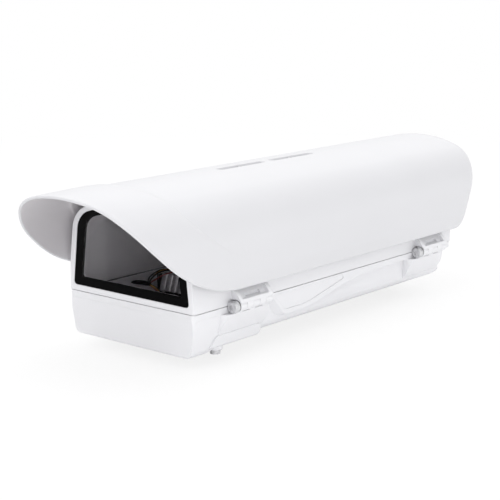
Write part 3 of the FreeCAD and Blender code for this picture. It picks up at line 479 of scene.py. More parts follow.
@dataclass
class Sunshield:
    """One-piece arched sunshield: a section carried along Y, with a swept hood and two channels.

    Sizes are millimetres in the maker's own frame: Y runs back from the front of the
    body and Z up from the parting plane. in_frame() turns them into the scene's frame.
    """

    MIDDLE_LANES = (0.0, 0.9, 1.6, 2.0, 2.2, 2.4, 2.8, 3.2, 3.5, 3.8, 4.2, 5.0, 6.5)
    BEHIND_CREASE = (0.0, 1.0, 2.2, 4.0, 6.5, 10.0, 15.0)
    INTO_CHANNEL = (-3.0, -1.2, -0.3, 0.0, 0.3, 0.7, 1.1, 1.6, 2.1, 2.7, 3.3,
                    4.2, 4.8, 5.2, 5.5, 5.9, 6.4, 7.0, 7.8, 9.5, 12.0)

    wall: float = 2.5
    crown_z: float = 95.2
    crown_r: float = 147.0
    crown_half: float = 45.0
    shoulder_r: float = 47.0
    side_angle: float = 85.0
    fold_z: float = 26.0
    fold_r: float = 6.0
    hem_x: float = 78.0
    hem_z: float = 14.0
    hood_tip: float = 76.0
    edge_start: float = 49.5
    edge_r: float = 125.0
    edge_angle: float = 55.4
    tip_softness: float = 1.5
    rear_foot: float = 378.0
    rear_top: float = 426.0
    rear_r: float = 14.0
    swell: float = 1.9
    swell_run: float = 3.0
    droop: Pair = (1.0, 5.0)
    droop_spread: Pair = (30.0, 80.0)
    droop_length: float = 60.0
    crease_y: float = -4.5
    crease_bend: float = 0.0185
    crease_flat: float = 56.0
    swell_fade: Pair = (62.0, 118.0)
    channel_centres: Pair = (139.0, 209.0)
    channel_half: float = 26.5
    channel_r: float = 3.5
    channel_depth: float = 3.2
    slot_half: float = 21.8
    slot_r: float = 2.2
    slot_depth: float = 1.0
    channel_step: float = 0.25
    slot_step: float = 0.3
    trough_step: Pair = (-3.2, -0.6)
    tip_share: float = 0.15
    droop_power: float = 1.5
    least_run: float = 1.0
    search_length: float = 200.0
    search_count: int = 20001
    side_lanes: tuple[float, float, int] = (8.5, 16.0, 46)
    foot_lanes: tuple[float, int] = (14.0, 15)
    ahead_count: int = 30
    ahead_power: float = 1.6
    fill_span: Pair = (22.0, 4.0)
    fill_step: float = 6.0
    fill_gap: float = 2.5
    rim_steps: int = 7

    def section(self, s: Grid) -> tuple[Grid, Grid, Grid, Grid]:
        """Right half of the outer section by arc length from the crown.

        The crown and the shoulder are arcs, then a straight side at side_angle, a small
        arc at the fold and a straight hem.

        Args:
            s: arc length from the middle of the crown.

        Returns:
            x, z and the outward normal's x and z, each shaped like s.
        """
        crown = math.asin(self.crown_half / self.crown_r)
        side = math.radians(self.side_angle)
        s1 = self.crown_r * crown
        s2 = s1 + self.shoulder_r * (side - crown)
        angle = np.where(s < s1, s / self.crown_r, crown + (s - s1) / self.shoulder_r)
        angle = np.minimum(angle, side)
        x1 = self.crown_half
        z1 = self.crown_z - self.crown_r * (1 - math.cos(crown))
        x = np.where(s < s1, self.crown_r * np.sin(angle),
                     x1 + self.shoulder_r * (np.sin(angle) - math.sin(crown)))
        z = np.where(s < s1, self.crown_z - self.crown_r * (1 - np.cos(angle)),
                     z1 - self.shoulder_r * (math.cos(crown) - np.cos(angle)))
        x2 = x1 + self.shoulder_r * (math.sin(side) - math.sin(crown))
        z2 = z1 - self.shoulder_r * (math.cos(crown) - math.cos(side))
        fold_x = x2 + (z2 - self.fold_z) / math.tan(side)
        hem_turn = math.atan2(fold_x - self.hem_x, self.fold_z - self.hem_z) + math.pi / 2
        cut = self.fold_r * math.tan((hem_turn - side) / 2)
        straight = (z2 - self.fold_z) / math.sin(side) - cut
        s3 = s2 + straight
        s4 = s3 + self.fold_r * (hem_turn - side)
        run = np.clip(s - s2, 0.0, straight)
        x = np.where(s > s2, x2 + run * math.cos(side), x)
        z = np.where(s > s2, z2 - run * math.sin(side), z)
        turn = np.clip((s - s3) / self.fold_r, 0.0, hem_turn - side)
        angle = np.where(s > s3, side + turn, angle)
        x = np.where(s > s3, x + self.fold_r * (np.sin(angle) - math.sin(side)), x)
        z = np.where(s > s3, z - self.fold_r * (math.cos(side) - np.cos(angle)), z)
        last = np.clip(s - s4, 0.0, None)
        x = x + last * math.cos(hem_turn)
        z = z - last * math.sin(hem_turn)
        return x, z, np.sin(angle), np.cos(angle)

    def hem_length(self, inset: float) -> float:
        """Find the arc length from the crown to the hem.

        Args:
            inset: how far the hem is drawn in.

        Returns:
            The length.
        """
        fine = np.linspace(0.0, self.search_length, self.search_count)
        _, z, _, _ = self.section(fine)
        return float(fine[np.argmax(z < self.hem_z + inset)])

    def front_edge(self, z: Grid, inset: float) -> Grid:
        """Hood's edge: an arc tangent to the hem, a straight run and a soft tip.

        The run passes into the tip's own line by half of gap + sqrt(gap^2 + tip_softness^2),
        less tip_share of the softness.

        Args:
            z: heights.
            inset: how far the edge is drawn in.

        Returns:
            Y at each height.
        """
        angle = math.radians(self.edge_angle)
        radius = self.edge_r - inset
        centre_z = self.hem_z + self.edge_r
        drop = np.clip(centre_z - z, radius * math.cos(angle), radius)
        arc = self.edge_start - np.sqrt(np.maximum(radius**2 - drop**2, 0.0))
        arc_end_z = centre_z - radius * math.cos(angle)
        line = arc - np.maximum(z - arc_end_z, 0.0) / math.tan(angle)
        tip = -self.hood_tip + inset
        gap = line - tip
        soft = 0.5 * (gap + np.sqrt(gap**2 + self.tip_softness**2))
        return tip + soft - self.tip_softness * self.tip_share

    def rear_edge(self, z: Grid, inset: float) -> Grid:
        """Rear edge: a slanting line with a rounded lower corner.

        Args:
            z: heights.
            inset: how far the edge is drawn in.

        Returns:
            Y at each height.
        """
        slope = (self.rear_top - self.rear_foot) / (self.crown_z - self.hem_z)
        lean = math.atan(slope)
        run = self.rear_r / math.tan((math.pi / 2 + lean) / 2)
        centre_y = self.rear_foot - run
        centre_z = self.hem_z + self.rear_r
        radius = self.rear_r - inset
        tangent_z = centre_z - radius * math.sin(lean)
        drop = np.clip(centre_z - z, radius * math.sin(lean), radius)
        arc = centre_y + np.sqrt(np.maximum(radius**2 - drop**2, 0.0))
        return arc + np.maximum(z - tangent_z, 0.0) * slope

    def lanes(self, inset: float) -> Grid:
        """Lanes of the grid, close together at the channels and at the hems.

        Args:
            inset: how far the hems are drawn in.

        Returns:
            Arc lengths from the crown, negative on the left.
        """
        hem = self.hem_length(inset)
        first, last, count = self.side_lanes
        run, foot_count = self.foot_lanes
        body = np.linspace(first, hem - last, count)
        foot = hem - run * (1.0 - np.linspace(0.0, 1.0, foot_count)) ** 2
        half = np.concatenate([self.MIDDLE_LANES, body, foot])
        return np.concatenate([-half[:0:-1], half])

    def stations(self) -> tuple[Grid, Grid]:
        """Shares of the way along Y, from hood to crease and from crease to rear.

        Returns:
            Two rising arrays from 0 to 1; the second is close together at the channel ends.
        """
        ahead = 1.0 - (1.0 - np.linspace(0.0, 1.0, self.ahead_count)) ** self.ahead_power
        length = self.rear_top - self.crease_y
        reach = self.channel_half + self.channel_r
        ends = np.array([centre + side * (reach - step) for centre in self.channel_centres
                         for side in (-1, 1) for step in self.INTO_CHANNEL])
        first, last = self.fill_span
        even = np.arange(first, self.rear_top - last, self.fill_step)
        even = even[np.abs(even[:, None] - ends).min(axis=1) > self.fill_gap]
        crease_on = np.concatenate([ends, even]) - self.crease_y
        every = np.sort(np.concatenate([self.BEHIND_CREASE, crease_on, [length]]))
        return ahead, np.clip(every / length, 0.0, 1.0)

    def stadium(self, x: Grid, y: Grid, half: float, radius: float) -> Grid:
        """Distance inside the nearest channel's rounded outline, negative outside."""
        return np.maximum.reduce([radius - np.hypot(x, np.maximum(np.abs(y - centre) - half, 0.0))
                                  for centre in self.channel_centres])

    def outer_grid(self, inset: float) -> Grid:
        """Smooth outer surface without channels.

        Each lane of the section runs from the hood's edge through the crease to the rear
        edge. Ahead of the crease the surface swells by 1 - exp(-run) along its normal, and
        from the front of the body it sinks by (distance / droop_length)^1.5, more at the
        sides than at the crown.

        Args:
            inset: how far its edges are drawn in.

        Returns:
            Points, stations x lanes x 3.
        """
        lanes = self.lanes(inset)
        out = np.abs(lanes)
        side = np.where(lanes < 0, -1.0, 1.0)
        x, z, nx, nz = self.section(out)
        fade = 1.0 - smooth_step(*self.swell_fade, out)
        crease = self.crease_y + self.crease_bend * np.maximum(out - self.crease_flat, 0.0) ** 2
        front = self.front_edge(z + self.swell * fade * nz, inset)
        rear = self.rear_edge(z, inset)
        crease = np.minimum(np.maximum(crease, front + self.least_run), rear - self.least_run)
        ahead, behind = self.stations()
        y = np.concatenate([front + (crease - front) * ahead[:, None],
                            crease + (rear - crease) * behind[1:, None]])
        lift = self.swell * fade * (1.0 - np.exp(-np.maximum(crease - y, 0.0) / self.swell_run))
        crown_sink, side_sink = self.droop
        sink = crown_sink + (side_sink - crown_sink) * smooth_step(*self.droop_spread, out)
        lift = lift - sink * (np.maximum(-y, 0.0) / self.droop_length) ** self.droop_power
        return np.stack([side * (x + lift * nx), y, z + lift * nz], axis=-1)

    @staticmethod
    def normals(points: Grid) -> Grid:
        """Unit normals by central differences, pointing up and out.

        Args:
            points: a grid of points.

        Returns:
            The normals, shaped like the points.
        """
        along = np.gradient(points, axis=0)
        across = np.gradient(points, axis=1)
        normal = np.cross(across, along)
        normal /= np.linalg.norm(normal, axis=-1, keepdims=True)
        outward = np.sign(normal[..., 2:3] + np.sign(points[..., :1]) * normal[..., :1])
        return normal * np.where(outward == 0, 1.0, outward)

    def build(self) -> bpy.types.Object:
        """Make the closed shell: outer skin, rounded rim, inner skin.

        The rim is a half circle between the skins, turned from the surface normal to the
        direction that leads out of the sheet.

        Returns:
            The shield's object.
        """
        radius = self.wall / 2
        smooth = self.outer_grid(radius)
        normal = self.normals(smooth)
        x, y = smooth[..., 0], smooth[..., 1]
        channel = self.stadium(x, y, self.channel_half, self.channel_r)
        slot = self.stadium(x, y, self.slot_half, self.slot_r)
        dip = self.channel_depth * smooth_step(-self.channel_step, self.channel_step, channel)
        dip += self.slot_depth * smooth_step(-self.slot_step, self.slot_step, slot)
        trough = (self.channel_depth + self.slot_depth) * smooth_step(*self.trough_step, channel)
        outer = smooth - normal * dip[..., None]
        inner = smooth - normal * (self.wall + trough)[..., None]
        return self.stitch(outer, inner, self.rim(smooth, normal, radius))

    @staticmethod
    def border(grid: Grid) -> Grid:
        """Edge of a grid as one closed loop, front, right, rear, left."""
        return np.concatenate([grid[0, :-1], grid[:-1, -1], grid[-1, :0:-1], grid[:0:-1, 0]])

    def rim(self, points: Grid, normal: Grid, radius: float) -> Grid:
        """Points of the rounded rim between the two skins.

        Args:
            points: outer skin.
            normal: its normals.
            radius: half the wall.

        Returns:
            Array of arc steps x border points x 3, without the skins' own edges.
        """
        loop, up = self.border(points), self.border(normal)
        ahead = np.roll(loop, -1, axis=0) - np.roll(loop, 1, axis=0)
        ahead /= np.linalg.norm(ahead, axis=-1, keepdims=True)
        out = np.cross(ahead, up)
        out /= np.linalg.norm(out, axis=-1, keepdims=True)
        centre = self.border(points.mean(axis=(0, 1), keepdims=True) + np.zeros_like(points))
        if np.sum(out * (loop - centre)) < 0:
            out = -out
        middle = loop - up * radius
        steps = np.linspace(0.0, math.pi, self.rim_steps + 2)[1:-1]
        return np.stack([middle + radius * (math.cos(a) * up + math.sin(a) * out) for a in steps])

    def stitch(self, outer: Grid, inner: Grid, rings: Grid) -> bpy.types.Object:
        """Join the skins and the rim rings into one mesh with outward faces.

        Args:
            outer: outer skin.
            inner: inner skin.
            rings: rim rings from the outer edge to the inner.

        Returns:
            The object.
        """
        rows, columns = outer.shape[:2]
        count = rows * columns
        index = np.arange(count).reshape(rows, columns)
        edge = self.border(index[..., None])[:, 0]
        around = len(edge)
        points = np.concatenate([part.reshape(-1, 3) for part in (outer, inner, rings)])
        quads = np.stack([index[:-1, :-1], index[:-1, 1:], index[1:, 1:], index[1:, :-1]], axis=-1)
        quads = quads.reshape(-1, 4)
        bands = [edge] + [2 * count + k * around + np.arange(around) for k in range(len(rings))]
        bands.append(count + edge)
        strips = [np.stack([a, b, np.roll(b, -1), np.roll(a, -1)], axis=-1)
                  for a, b in zip(bands, bands[1:])]
        faces = np.concatenate([quads, quads[:, ::-1] + count] + strips)
        mesh = bpy.data.meshes.new("sunshield_moulding")
        mesh.from_pydata(in_frame(points).tolist(), [], faces.tolist())
        for _ in range(2):
            mesh.materials.append(None)
        mesh.shade_smooth()
        skin = np.zeros(len(faces), dtype=np.int32)
        skin[len(quads):2 * len(quads)] = 1
        mesh.polygons.foreach_set("material_index", skin)
        piece = new_piece("sunshield_moulding", mesh)
        point_outwards(piece)
        return piece

    def dress(self, piece: bpy.types.Object, finishes: Finishes) -> None:
        """Finish the shield's outer skin, and its inner skin in a darker copy of the white that paints in
        the shade under the arch, and hang it on its body.

        Args:
            piece: the shield.
            finishes: the materials.
        """
        # The inner skin takes the darker white, painted shade under the arch.
        for index, name in enumerate(("shield_white", "shield_inside_painted_shade")):
            piece.data.materials[index] = finishes.by_name[name]
        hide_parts("sunshield")
        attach(piece, Body.SHIELD.value)


def point_outwards(piece: bpy.types.Object) -> None:
    """Turn the faces of a closed mesh so that they point outwards.

    Args:
        piece: the mesh's object.
    """
    work = bmesh.new()
    work.from_mesh(piece.data)
    bmesh.ops.recalc_face_normals(work, faces=work.faces)
    work.to_mesh(piece.data)
    work.free()
    piece.data.update()


def new_piece(name: str, data: bpy.types.ID) -> bpy.types.Object:
    """Link a new object at the origin.

    Args:
        name: the object's name.
        data: its mesh, curve, lamp or camera.

    Returns:
        The object.
    """
    piece = bpy.data.objects.new(name, data)
    bpy.context.scene.collection.objects.link(piece)
    return piece


@dataclass(frozen=True)
class Lead:
    """Course of one lead from the splice to end_x, past the points of its route.

    A lead with a shift runs on to the terminals, that far to the right of the first one;
    a lead without one ends at the heater's foot.
    """

    name: str
    finish: str
    end_x: float
    route: tuple[Triple, ...]
    shift: float | None = None


LEADS = (
    Lead("lead_black_upper", "lead_black", -12.5, (
        (-45.5, 69.0, -1.0), (-49.5, 76.5, 1.2), (-50.2, 85.5, 3.0), (-48.7, 91.9, 4.5)), 0.0),
    Lead("lead_black_lower", "lead_black", -7.5, (
        (-42.5, 69.0, -1.0), (-46.6, 77.0, 1.0), (-47.0, 86.0, 3.0), (-43.8, 91.4, 4.5)), 2.6),
    Lead("lead_amber_upper", "lead_amber", -2.5, (
        (-43.4, 70.1, -1.3), (-47.5, 78.1, 0.7), (-48.4, 86.2, 3.0), (-46.1, 91.5, 4.5)), 1.3),
    Lead("lead_red_upper", "lead_red", 2.5, (
        (-39.6, 71.5, -0.5), (-38.8, 77.8, 1.5), (-37.6, 82.9, 3.0), (-33.5, 87.0, 4.5)), 4.4),
    Lead("lead_black_heater", "lead_black", -26.5, (
        (-36.6, 68.2, -5.0), (-32.9, 70.6, -8.0), (-28.3, 71.8, -12.5), (-25.5, 75.0, -16.0))),
    Lead("lead_amber_heater", "lead_amber", -30.0, (
        (-34.6, 66.0, -5.0), (-34.0, 69.8, -8.0), (-31.5, 72.5, -12.5), (-29.5, 75.5, -16.0))),
    Lead("lead_red_heater", "lead_red", -33.5, (
        (-37.0, 65.5, -4.8), (-37.1, 69.8, -8.0), (-34.8, 71.9, -12.0), (-33.0, 75.0, -16.0))),
)


@dataclass
class Interior:
    """Heater, its leads and their splice, low behind the window.

    Sizes are millimetres in the maker's own frame: Y runs back from the front of the
    body and Z up from the parting plane.
    """

    SPLICE = ((-53.5, 57.0, -2.0, 0.25), (-51.5, 57.8, -1.7, 0.8), (-47.5, 60.2, -1.4, 1.0),
              (-43.0, 62.2, -1.7, 1.0), (-40.0, 63.3, -2.2, 0.95), (-37.6, 64.0, -2.6, 0.8))
    FROM_SPLICE = (-39.0, 63.6, -2.4)
    PLATE_TOP = -16.3
    TO_TERMINALS = ((-44.0, 108.0, 2.0), (-38.0, 130.0, -12.0), (-36.0, 150.0, PLATE_TOP),
                    (-35.0, 215.0, PLATE_TOP), (-28.0, 250.0, PLATE_TOP))

    heater_x: Pair = (-47.0, -20.6)
    heater_front: float = 84.0
    heater_depth: float = 11.0
    heater_z: Pair = (-12.5, 1.5)
    rib_count: int = 4
    rib_depth: float = 1.8
    rib_lean: float = 4.3
    rib_half: float = 0.47
    rib_steps: int = 13
    cap_width: float = 3.0
    cap_gap: float = 0.1
    cap_drop: float = 1.0
    base_z: float = -17.0
    base_inset: float = 1.5
    bevels: Triple = (0.15, 0.4, 0.3)
    bevel_steps: int = 2
    splice_r: float = 2.1
    lead_r: float = 0.6
    curve_steps: int = 8
    round_steps: int = 4
    spread_y: float = 272.0
    mouth: Pair = (285.5, -17.6)
    foot_y: Pair = (81.0, 86.5)
    foot_rise: float = 1.0

    def prism(self, name: str, outline: Grid, low: float, high: float, bevel: float,
              lean: float = 0.0) -> bpy.types.Object:
        """Upright prism of a plan outline: two copies of the outline joined by quads.

        Args:
            name: the piece's name.
            outline: corners in plan, points x 2, anticlockwise from above.
            low: height of the foot.
            high: height of the top.
            bevel: width of its softened edges.
            lean: how far the front of the top is set back; the rear stays upright.

        Returns:
            The piece.
        """
        count = len(outline)
        y = outline[:, 1]
        top = outline + np.stack([0.0 * y, lean * (y.max() - y) / np.ptp(y)], axis=-1)
        ring = np.arange(count)
        level = np.ones((count, 1))
        points = np.concatenate([np.hstack([outline, low * level]), np.hstack([top, high * level])])
        after = np.roll(ring, -1)
        sides = np.stack([ring, after, after + count, ring + count], axis=-1).tolist()
        caps = [ring[::-1].tolist(), (ring + count).tolist()]
        mesh = bpy.data.meshes.new(name)
        mesh.from_pydata(in_frame(points).tolist(), [], sides + caps)
        piece = new_piece(name, mesh)
        soften = piece.modifiers.new("soft_edges", "BEVEL")
        soften.width = bevel * MM
        soften.segments = self.bevel_steps
        return piece

    @staticmethod
    def rectangle(x0: float, x1: float, y0: float, y1: float) -> Grid:
        """Corners of a rectangle in plan, anticlockwise."""
        return np.array([[x0, y0], [x1, y0], [x1, y1], [x0, y1]])

    def rib_outline(self) -> Grid:
        """Plan of the ribbed block: half-round ribs side by side on its front, a plain back.

        Returns:
            Its corners, points x 2.
        """
        x0, x1 = self.heater_x
        pitch = (x1 - x0) / self.rib_count
        turn = np.linspace(math.pi, 2 * math.pi, self.rib_steps)
        centres = x0 + pitch * (np.arange(self.rib_count) + 0.5)
        front_x = centres[:, None] + self.rib_half * pitch * np.cos(turn)
        front_y = self.heater_front + self.rib_depth * (1.0 + np.sin(turn)) + 0.0 * front_x
        rear = self.heater_front + self.heater_depth
        front = np.stack([front_x.ravel(), front_y.ravel()], axis=-1)
        return np.concatenate([front, [[x1, rear], [x0, rear]]])

    def heater(self) -> list[tuple[bpy.types.Object, str, Slot]]:
        """Make the heater's block, its end cap and its recessed foot, whose black finish paints in the
        shaded gap under the block.

        Returns:
            Each piece with its finish and slot.
        """
        rear = self.heater_front + self.heater_depth
        x0, x1 = self.heater_x
        low, high = self.heater_z
        inset = self.base_inset
        front = self.heater_front + inset
        cap = self.rectangle(x0 - self.cap_width, x0 - self.cap_gap, front, rear)
        base = self.rectangle(x0 + 2 * inset, x1 - 2 * inset, front, rear - inset)
        rib_bevel, cap_bevel, base_bevel = self.bevels
        ribs = self.prism("heater_ribs", self.rib_outline(), low, high, rib_bevel, self.rib_lean)
        end = self.prism("heater_end", cap, low, high - self.cap_drop, cap_bevel)
        # The foot is recessed and dressed black: painted shade in the gap under the block, added to its
        # real shadow.
        foot = self.prism("heater_foot_painted_shade", base, self.base_z, low, base_bevel)
        return [(ribs, "heater_metal", Slot.BRIGHT), (end, "gland_nylon", Slot.NYLON),
                (foot, "gland_nylon", Slot.NYLON)]

    def tube(self, name: str, route: tuple[tuple[float, ...], ...], radius: float) -> bpy.types.Object:
        """Round lead along a smooth route.

        Args:
            name: the piece's name.
            route: points x, y, z, and for a shaped tube a fourth value that scales its radius.
            radius: half its thickness.

        Returns:
            The piece, a curve with filled ends.
        """
        curve = bpy.data.curves.new(name, "CURVE")
        curve.dimensions = "3D"
        curve.bevel_depth = radius * MM
        curve.bevel_resolution = self.round_steps
        curve.use_fill_caps = True
        spline = curve.splines.new("NURBS")
        spline.points.add(len(route) - 1)
        places = in_frame(np.array([point[:3] for point in route]))
        for point, place, mark in zip(spline.points, places, route):
            point.co = (*place, 1.0)
            point.radius = mark[3] if len(mark) > 3 else 1.0
        spline.order_u = 4
        spline.resolution_u = self.curve_steps
        spline.use_endpoint_u = True
        return new_piece(name, curve)

    def last_run(self, lead: Lead) -> tuple[Triple, ...]:
        """Rest of a lead: back along the plate into a terminal, or in to the heater's foot.

        Args:
            lead: the lead.

        Returns:
            The points it passes.
        """
        end_x, plate = lead.end_x, self.PLATE_TOP
        if lead.shift is None:
            near, far = self.foot_y
            return (end_x, near, plate), (end_x, far, plate + self.foot_rise)
        back = ((x + lead.shift, y, z) for x, y, z in self.TO_TERMINALS)
        return (*back, (end_x, self.spread_y, plate), (end_x, *self.mouth))

    def build(self, finishes: Finishes) -> None:
        """Make, dress and hang every inner piece.

        Args:
            finishes: the materials.
        """
        solids = self.heater()
        solids.append((self.tube("lead_splice", self.SPLICE, self.splice_r), "lead_black", Slot.RUBBER))
        for lead in LEADS:
            route = (self.FROM_SPLICE, *lead.route, *self.last_run(lead))
            solids.append((self.tube(lead.name, route, self.lead_r), lead.finish, Slot.RUBBER))
        for piece, finish, slot in solids:
            finishes.dress(piece, finish)
            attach(piece, Body.BASE.value)
            LOG.info("%s", piece.name)


def print_border(gasket: bpy.types.Object, finishes: Finishes) -> None:
    """Make the black border printed on the pane's outer face, in the outline of the gasket.

    Args:
        gasket: the node whose outline it takes; its front lies behind the pane.
        finishes: the materials.
    """
    mesh = gasket.data.copy()
    mesh.name = "window_print"
    flat = np.empty(3 * len(mesh.vertices), dtype=np.float32)
    mesh.vertices.foreach_get("co", flat)
    points = flat.reshape(-1, 3)
    front = float(points[:, 1].min())
    points[:, 1] = (points[:, 1] - front) * PRINT_SQUASH + front - PANE_THICK - PRINT_GAP
    mesh.vertices.foreach_set("co", points.ravel())
    mesh.update()
    piece = new_piece("window_print", mesh)
    finishes.dress(piece, "border_black")
    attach(piece, Body.LID.value)


class FrameDress:
    """Finishes of the CAD nodes that stay as they are."""

    NODES = {
        "body_white": ("base_tray", "lid_shell"),
        "pane_clear": ("window_glass",),
        "border_black": ("window_gasket",),
        "seal_grey": ("body_seal",),
        "seal_rubber": ("hinge_washers", "closing_washer_front", "closing_washer_rear",
                        "gland_seal", "plug_washers"),
        "screw_metal": ("hinge_screws", "closing_screw_front", "closing_screw_rear",
                        "shield_screws", "accessory_screws"),
        "bright_metal": ("accessory_washers", "plate_screws", "camera_screw", "board_screws"),
        "gland_nylon": ("gland_body", "gland_nut", "gland_locknut", "blanking_plugs"),
        "plate_metal": ("camera_plate",),
        "board_lacquer": ("terminal_board",),
        "terminal_plastic": ("terminal_block",),
    }

    def dress(self, nodes: dict[str, bpy.types.Object], finishes: Finishes) -> None:
        """Give every node its finish.

        Args:
            nodes: the frame's nodes by name.
            finishes: the materials.
        """
        for finish, names in self.NODES.items():
            for name in names:
                finishes.dress(nodes[name], finish)
                LOG.info("%s: %s", name, finish)


@dataclass
class PhotoCamera:
    """Camera fitted to the housing's straight edges."""

    place: Triple = (0.7478653, -0.9335857, 0.299259)
    azimuth: float = 39.9036
    elevation: float = 12.1131
    lens: float = 96.84
    sensor: float = 36.0
    clip: Pair = (0.01, 50.0)

    def build(self) -> None:
        """Make the camera and set it as the scene's."""
        data = bpy.data.cameras.new("camera")
        data.lens = self.lens
        data.sensor_width = self.sensor
        data.clip_start, data.clip_end = self.clip
        camera = new_piece("camera", data)
        camera.location = self.place
        camera.rotation_euler = Euler((math.radians(90 - self.elevation), 0.0, math.radians(self.azimuth)))
        bpy.context.scene.camera = camera


@dataclass(frozen=True)
class Lamp:
    """Soft square lamp that points at a place; its power is in watts."""

    name: str
    place: Triple
    target: Triple
    size: float
    power: float

    def build(self) -> None:
        """Make the lamp and turn it to its target."""
        data = bpy.data.lights.new(self.name, "AREA")
        data.shape = "SQUARE"
        data.size = self.size
        data.energy = self.power
        lamp = new_piece(self.name, data)
        lamp.location = self.place
        ahead = Vector(self.target) - Vector(self.place)
        lamp.rotation_euler = ahead.to_track_quat("-Z", "Y").to_euler()


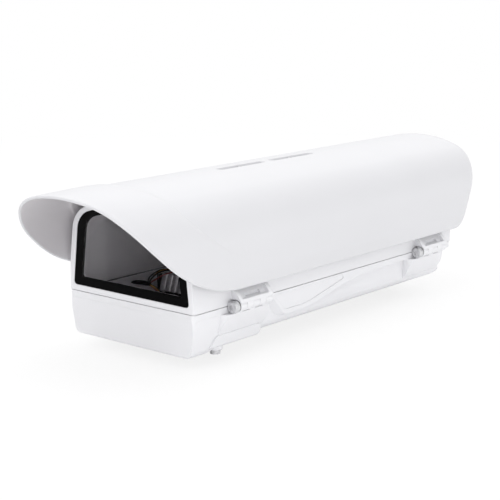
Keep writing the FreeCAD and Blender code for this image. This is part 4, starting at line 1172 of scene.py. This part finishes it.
@dataclass
class Studio:
    """Pale floor, white surroundings, soft lamps and a dark card that only mirrored rays see.

    The light of the surroundings is a zenith, a middle and a low band. sky_mid and
    sky_low hold the strength on the left and on the right of their band.
    """

    LAMPS = (Lamp("lamp_top", (0.1, -0.1, 1.5), (0.0, 0.0, 0.05), 1.6, 3.8),
             Lamp("lamp_right", (1.6, -1.1, 0.5), (0.0, 0.0, 0.05), 1.2, 2.9),
             Lamp("lamp_front", (0.75, -0.95, 0.08), (0.0, -0.19, 0.05), 0.5, 0.85))

    sky_zenith: float = 1.3
    sky_mid: Pair = (1.42, 0.58)
    sky_low: Pair = (0.79, 1.51)
    sideways: Pair = (-0.5, 0.5)
    low_to_mid: Pair = (0.0, 0.45)
    mid_to_zenith: Pair = (0.55, 0.95)
    floor_z: float = -0.0162
    floor_half: float = 6.0
    floor_colour: Colour = (0.92, 0.92, 0.92)
    floor_rough: float = 0.9
    floor_specular: float = 0.1
    floor_glow: float = 0.03
    near_white: float = 0.8
    white_span: Pair = (0.35, 1.3)
    card_x: Pair = (-0.42, 0.02)
    card_y: Pair = (-0.2, -0.36)
    card_split: Pair = (-0.040, -0.2035)
    card_lift: float = 0.0005
    card_top: float = 0.45
    card_tones: Pair = (0.22, 0.01)

    def build(self) -> None:
        """Make the world, floor, lamps and card."""
        bpy.context.scene.view_settings.view_transform = "Standard"
        self.make_world()
        self.make_floor()
        for lamp in self.LAMPS:
            lamp.build()
        self.make_card()

    def make_world(self) -> None:
        """White surroundings: full white for the camera and through the pane, else bands of light."""
        world = bpy.data.worlds.new("studio")
        world.use_nodes = True
        bpy.context.scene.world = world
        tree = world.node_tree
        place = tree.nodes.new("ShaderNodeTexCoord")
        parts = tree.nodes.new("ShaderNodeSeparateXYZ")
        tree.links.new(place.outputs["Generated"], parts.inputs[0])
        middle = mapped(tree, parts.outputs["X"], self.sideways, *self.sky_mid, "SMOOTHSTEP")
        low = mapped(tree, parts.outputs["X"], self.sideways, *self.sky_low, "SMOOTHSTEP")
        rise = mapped(tree, parts.outputs["Z"], self.low_to_mid, low, middle, "SMOOTHSTEP")
        total = mapped(tree, parts.outputs["Z"], self.mid_to_zenith, rise, self.sky_zenith, "SMOOTHSTEP")
        banded = tree.nodes["Background"]
        fill(banded, {"Color": WHITE})
        tree.links.new(total, banded.inputs["Strength"])
        white = tree.nodes.new("ShaderNodeBackground")
        fill(white, {"Color": WHITE, "Strength": 1.0})
        path = tree.nodes.new("ShaderNodeLightPath").outputs
        share = combined(tree, "MAXIMUM", path["Is Camera Ray"], path["Is Transmission Ray"])
        whole = mixed(tree, share, banded.outputs[0], white.outputs[0])
        tree.links.new(whole, tree.nodes["World Output"].inputs["Surface"])

    def make_floor(self) -> None:
        """Pale floor that keeps a soft shadow.

        The camera sees it nearly white, more so further out, and sees through it from below.
        """
        half = self.floor_half
        corners = [(x, y, self.floor_z) for x, y in ((-half, -half), (half, -half),
                                                     (half, half), (-half, half))]
        mesh = bpy.data.meshes.new("floor")
        mesh.from_pydata(corners, [], [[0, 1, 2, 3]])
        floor = new_piece("floor", mesh)
        material, shader = new_material("floor_paper")
        fill(shader, {"Base Color": self.floor_colour, "Roughness": self.floor_rough,
                      "Specular IOR Level": self.floor_specular,
                      "Emission Color": WHITE, "Emission Strength": self.floor_glow})
        tree = material.node_tree
        white = tree.nodes.new("ShaderNodeEmission")
        fill(white, {"Strength": 1.0})
        to_camera = tree.nodes.new("ShaderNodeLightPath").outputs["Is Camera Ray"]
        place = tree.nodes.new("ShaderNodeTexCoord")
        away = tree.nodes.new("ShaderNodeVectorMath")
        away.operation = "LENGTH"
        tree.links.new(place.outputs["Object"], away.inputs[0])
        rising = mapped(tree, away.outputs["Value"], self.white_span, self.near_white, 1.0)
        share = combined(tree, "MULTIPLY", to_camera, rising)
        paper = mixed(tree, share, shader.outputs[0], white.outputs[0])
        underside = tree.nodes.new("ShaderNodeNewGeometry").outputs["Backfacing"]
        below = combined(tree, "MULTIPLY", underside, to_camera)
        clear = tree.nodes.new("ShaderNodeBsdfTransparent")
        whole = mixed(tree, below, paper, clear.outputs[0])
        tree.links.new(whole, tree.nodes["Material Output"].inputs["Surface"])
        mesh.materials.append(material)

    def make_card(self) -> None:
        """Card ahead of the window, lying and standing, seen only by rays that were mirrored once.

        Its left part is grey and its right part black, parted along the line that the
        camera sees upright when it is mirrored in the window.
        """
        floor, top = self.floor_z + self.card_lift, self.card_top
        near, far = self.card_y
        left, right = self.card_x
        split_near, split_far = self.card_split
        front = [(x, near, floor) for x in (left, split_near, right)]
        back = [(x, far, floor) for x in (left, split_far, right)]
        upper = [(x, far, top) for x in (left, split_far, right)]
        faces = [[0, 3, 4, 1], [1, 4, 5, 2], [3, 6, 7, 4], [4, 7, 8, 5]]
        mesh = bpy.data.meshes.new("card")
        mesh.from_pydata(front + back + upper, [], faces)
        card = new_piece("card", mesh)
        for kind in ("camera", "diffuse", "shadow", "volume_scatter"):
            setattr(card, "visible_" + kind, False)
        for name, tone in zip(("card_grey", "card_black"), self.card_tones):
            material, shader = new_material(name)
            fill(shader, {"Base Color": (tone, tone, tone), "Roughness": 1.0, "Specular IOR Level": 0.0})
            tree = material.node_tree
            mirrored = tree.nodes.new("ShaderNodeLightPath").outputs["Glossy Depth"]
            clear = tree.nodes.new("ShaderNodeBsdfTransparent")
            whole = mixed(tree, mirrored, clear.outputs[0], shader.outputs[0])
            tree.links.new(whole, tree.nodes["Material Output"].inputs["Surface"])
            mesh.materials.append(material)
        mesh.polygons.foreach_set("material_index", [0, 1, 0, 1])


def main() -> None:
    """Load the frame, then build and dress the housing piece by piece."""
    logging.basicConfig(level=logging.INFO, format="%(message)s")
    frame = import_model()
    PhotoCamera().build()
    finishes = Finishes()
    FrameDress().dress(frame["nodes"], finishes)
    shield = Sunshield()
    piece = shield.build()
    shield.dress(piece, finishes)
    LOG.info("%s: %d faces", piece.name, len(piece.data.polygons))
    print_border(frame["nodes"]["window_gasket"], finishes)
    Interior().build(finishes)
    Studio().build()


if __name__ == "__main__":
    main()
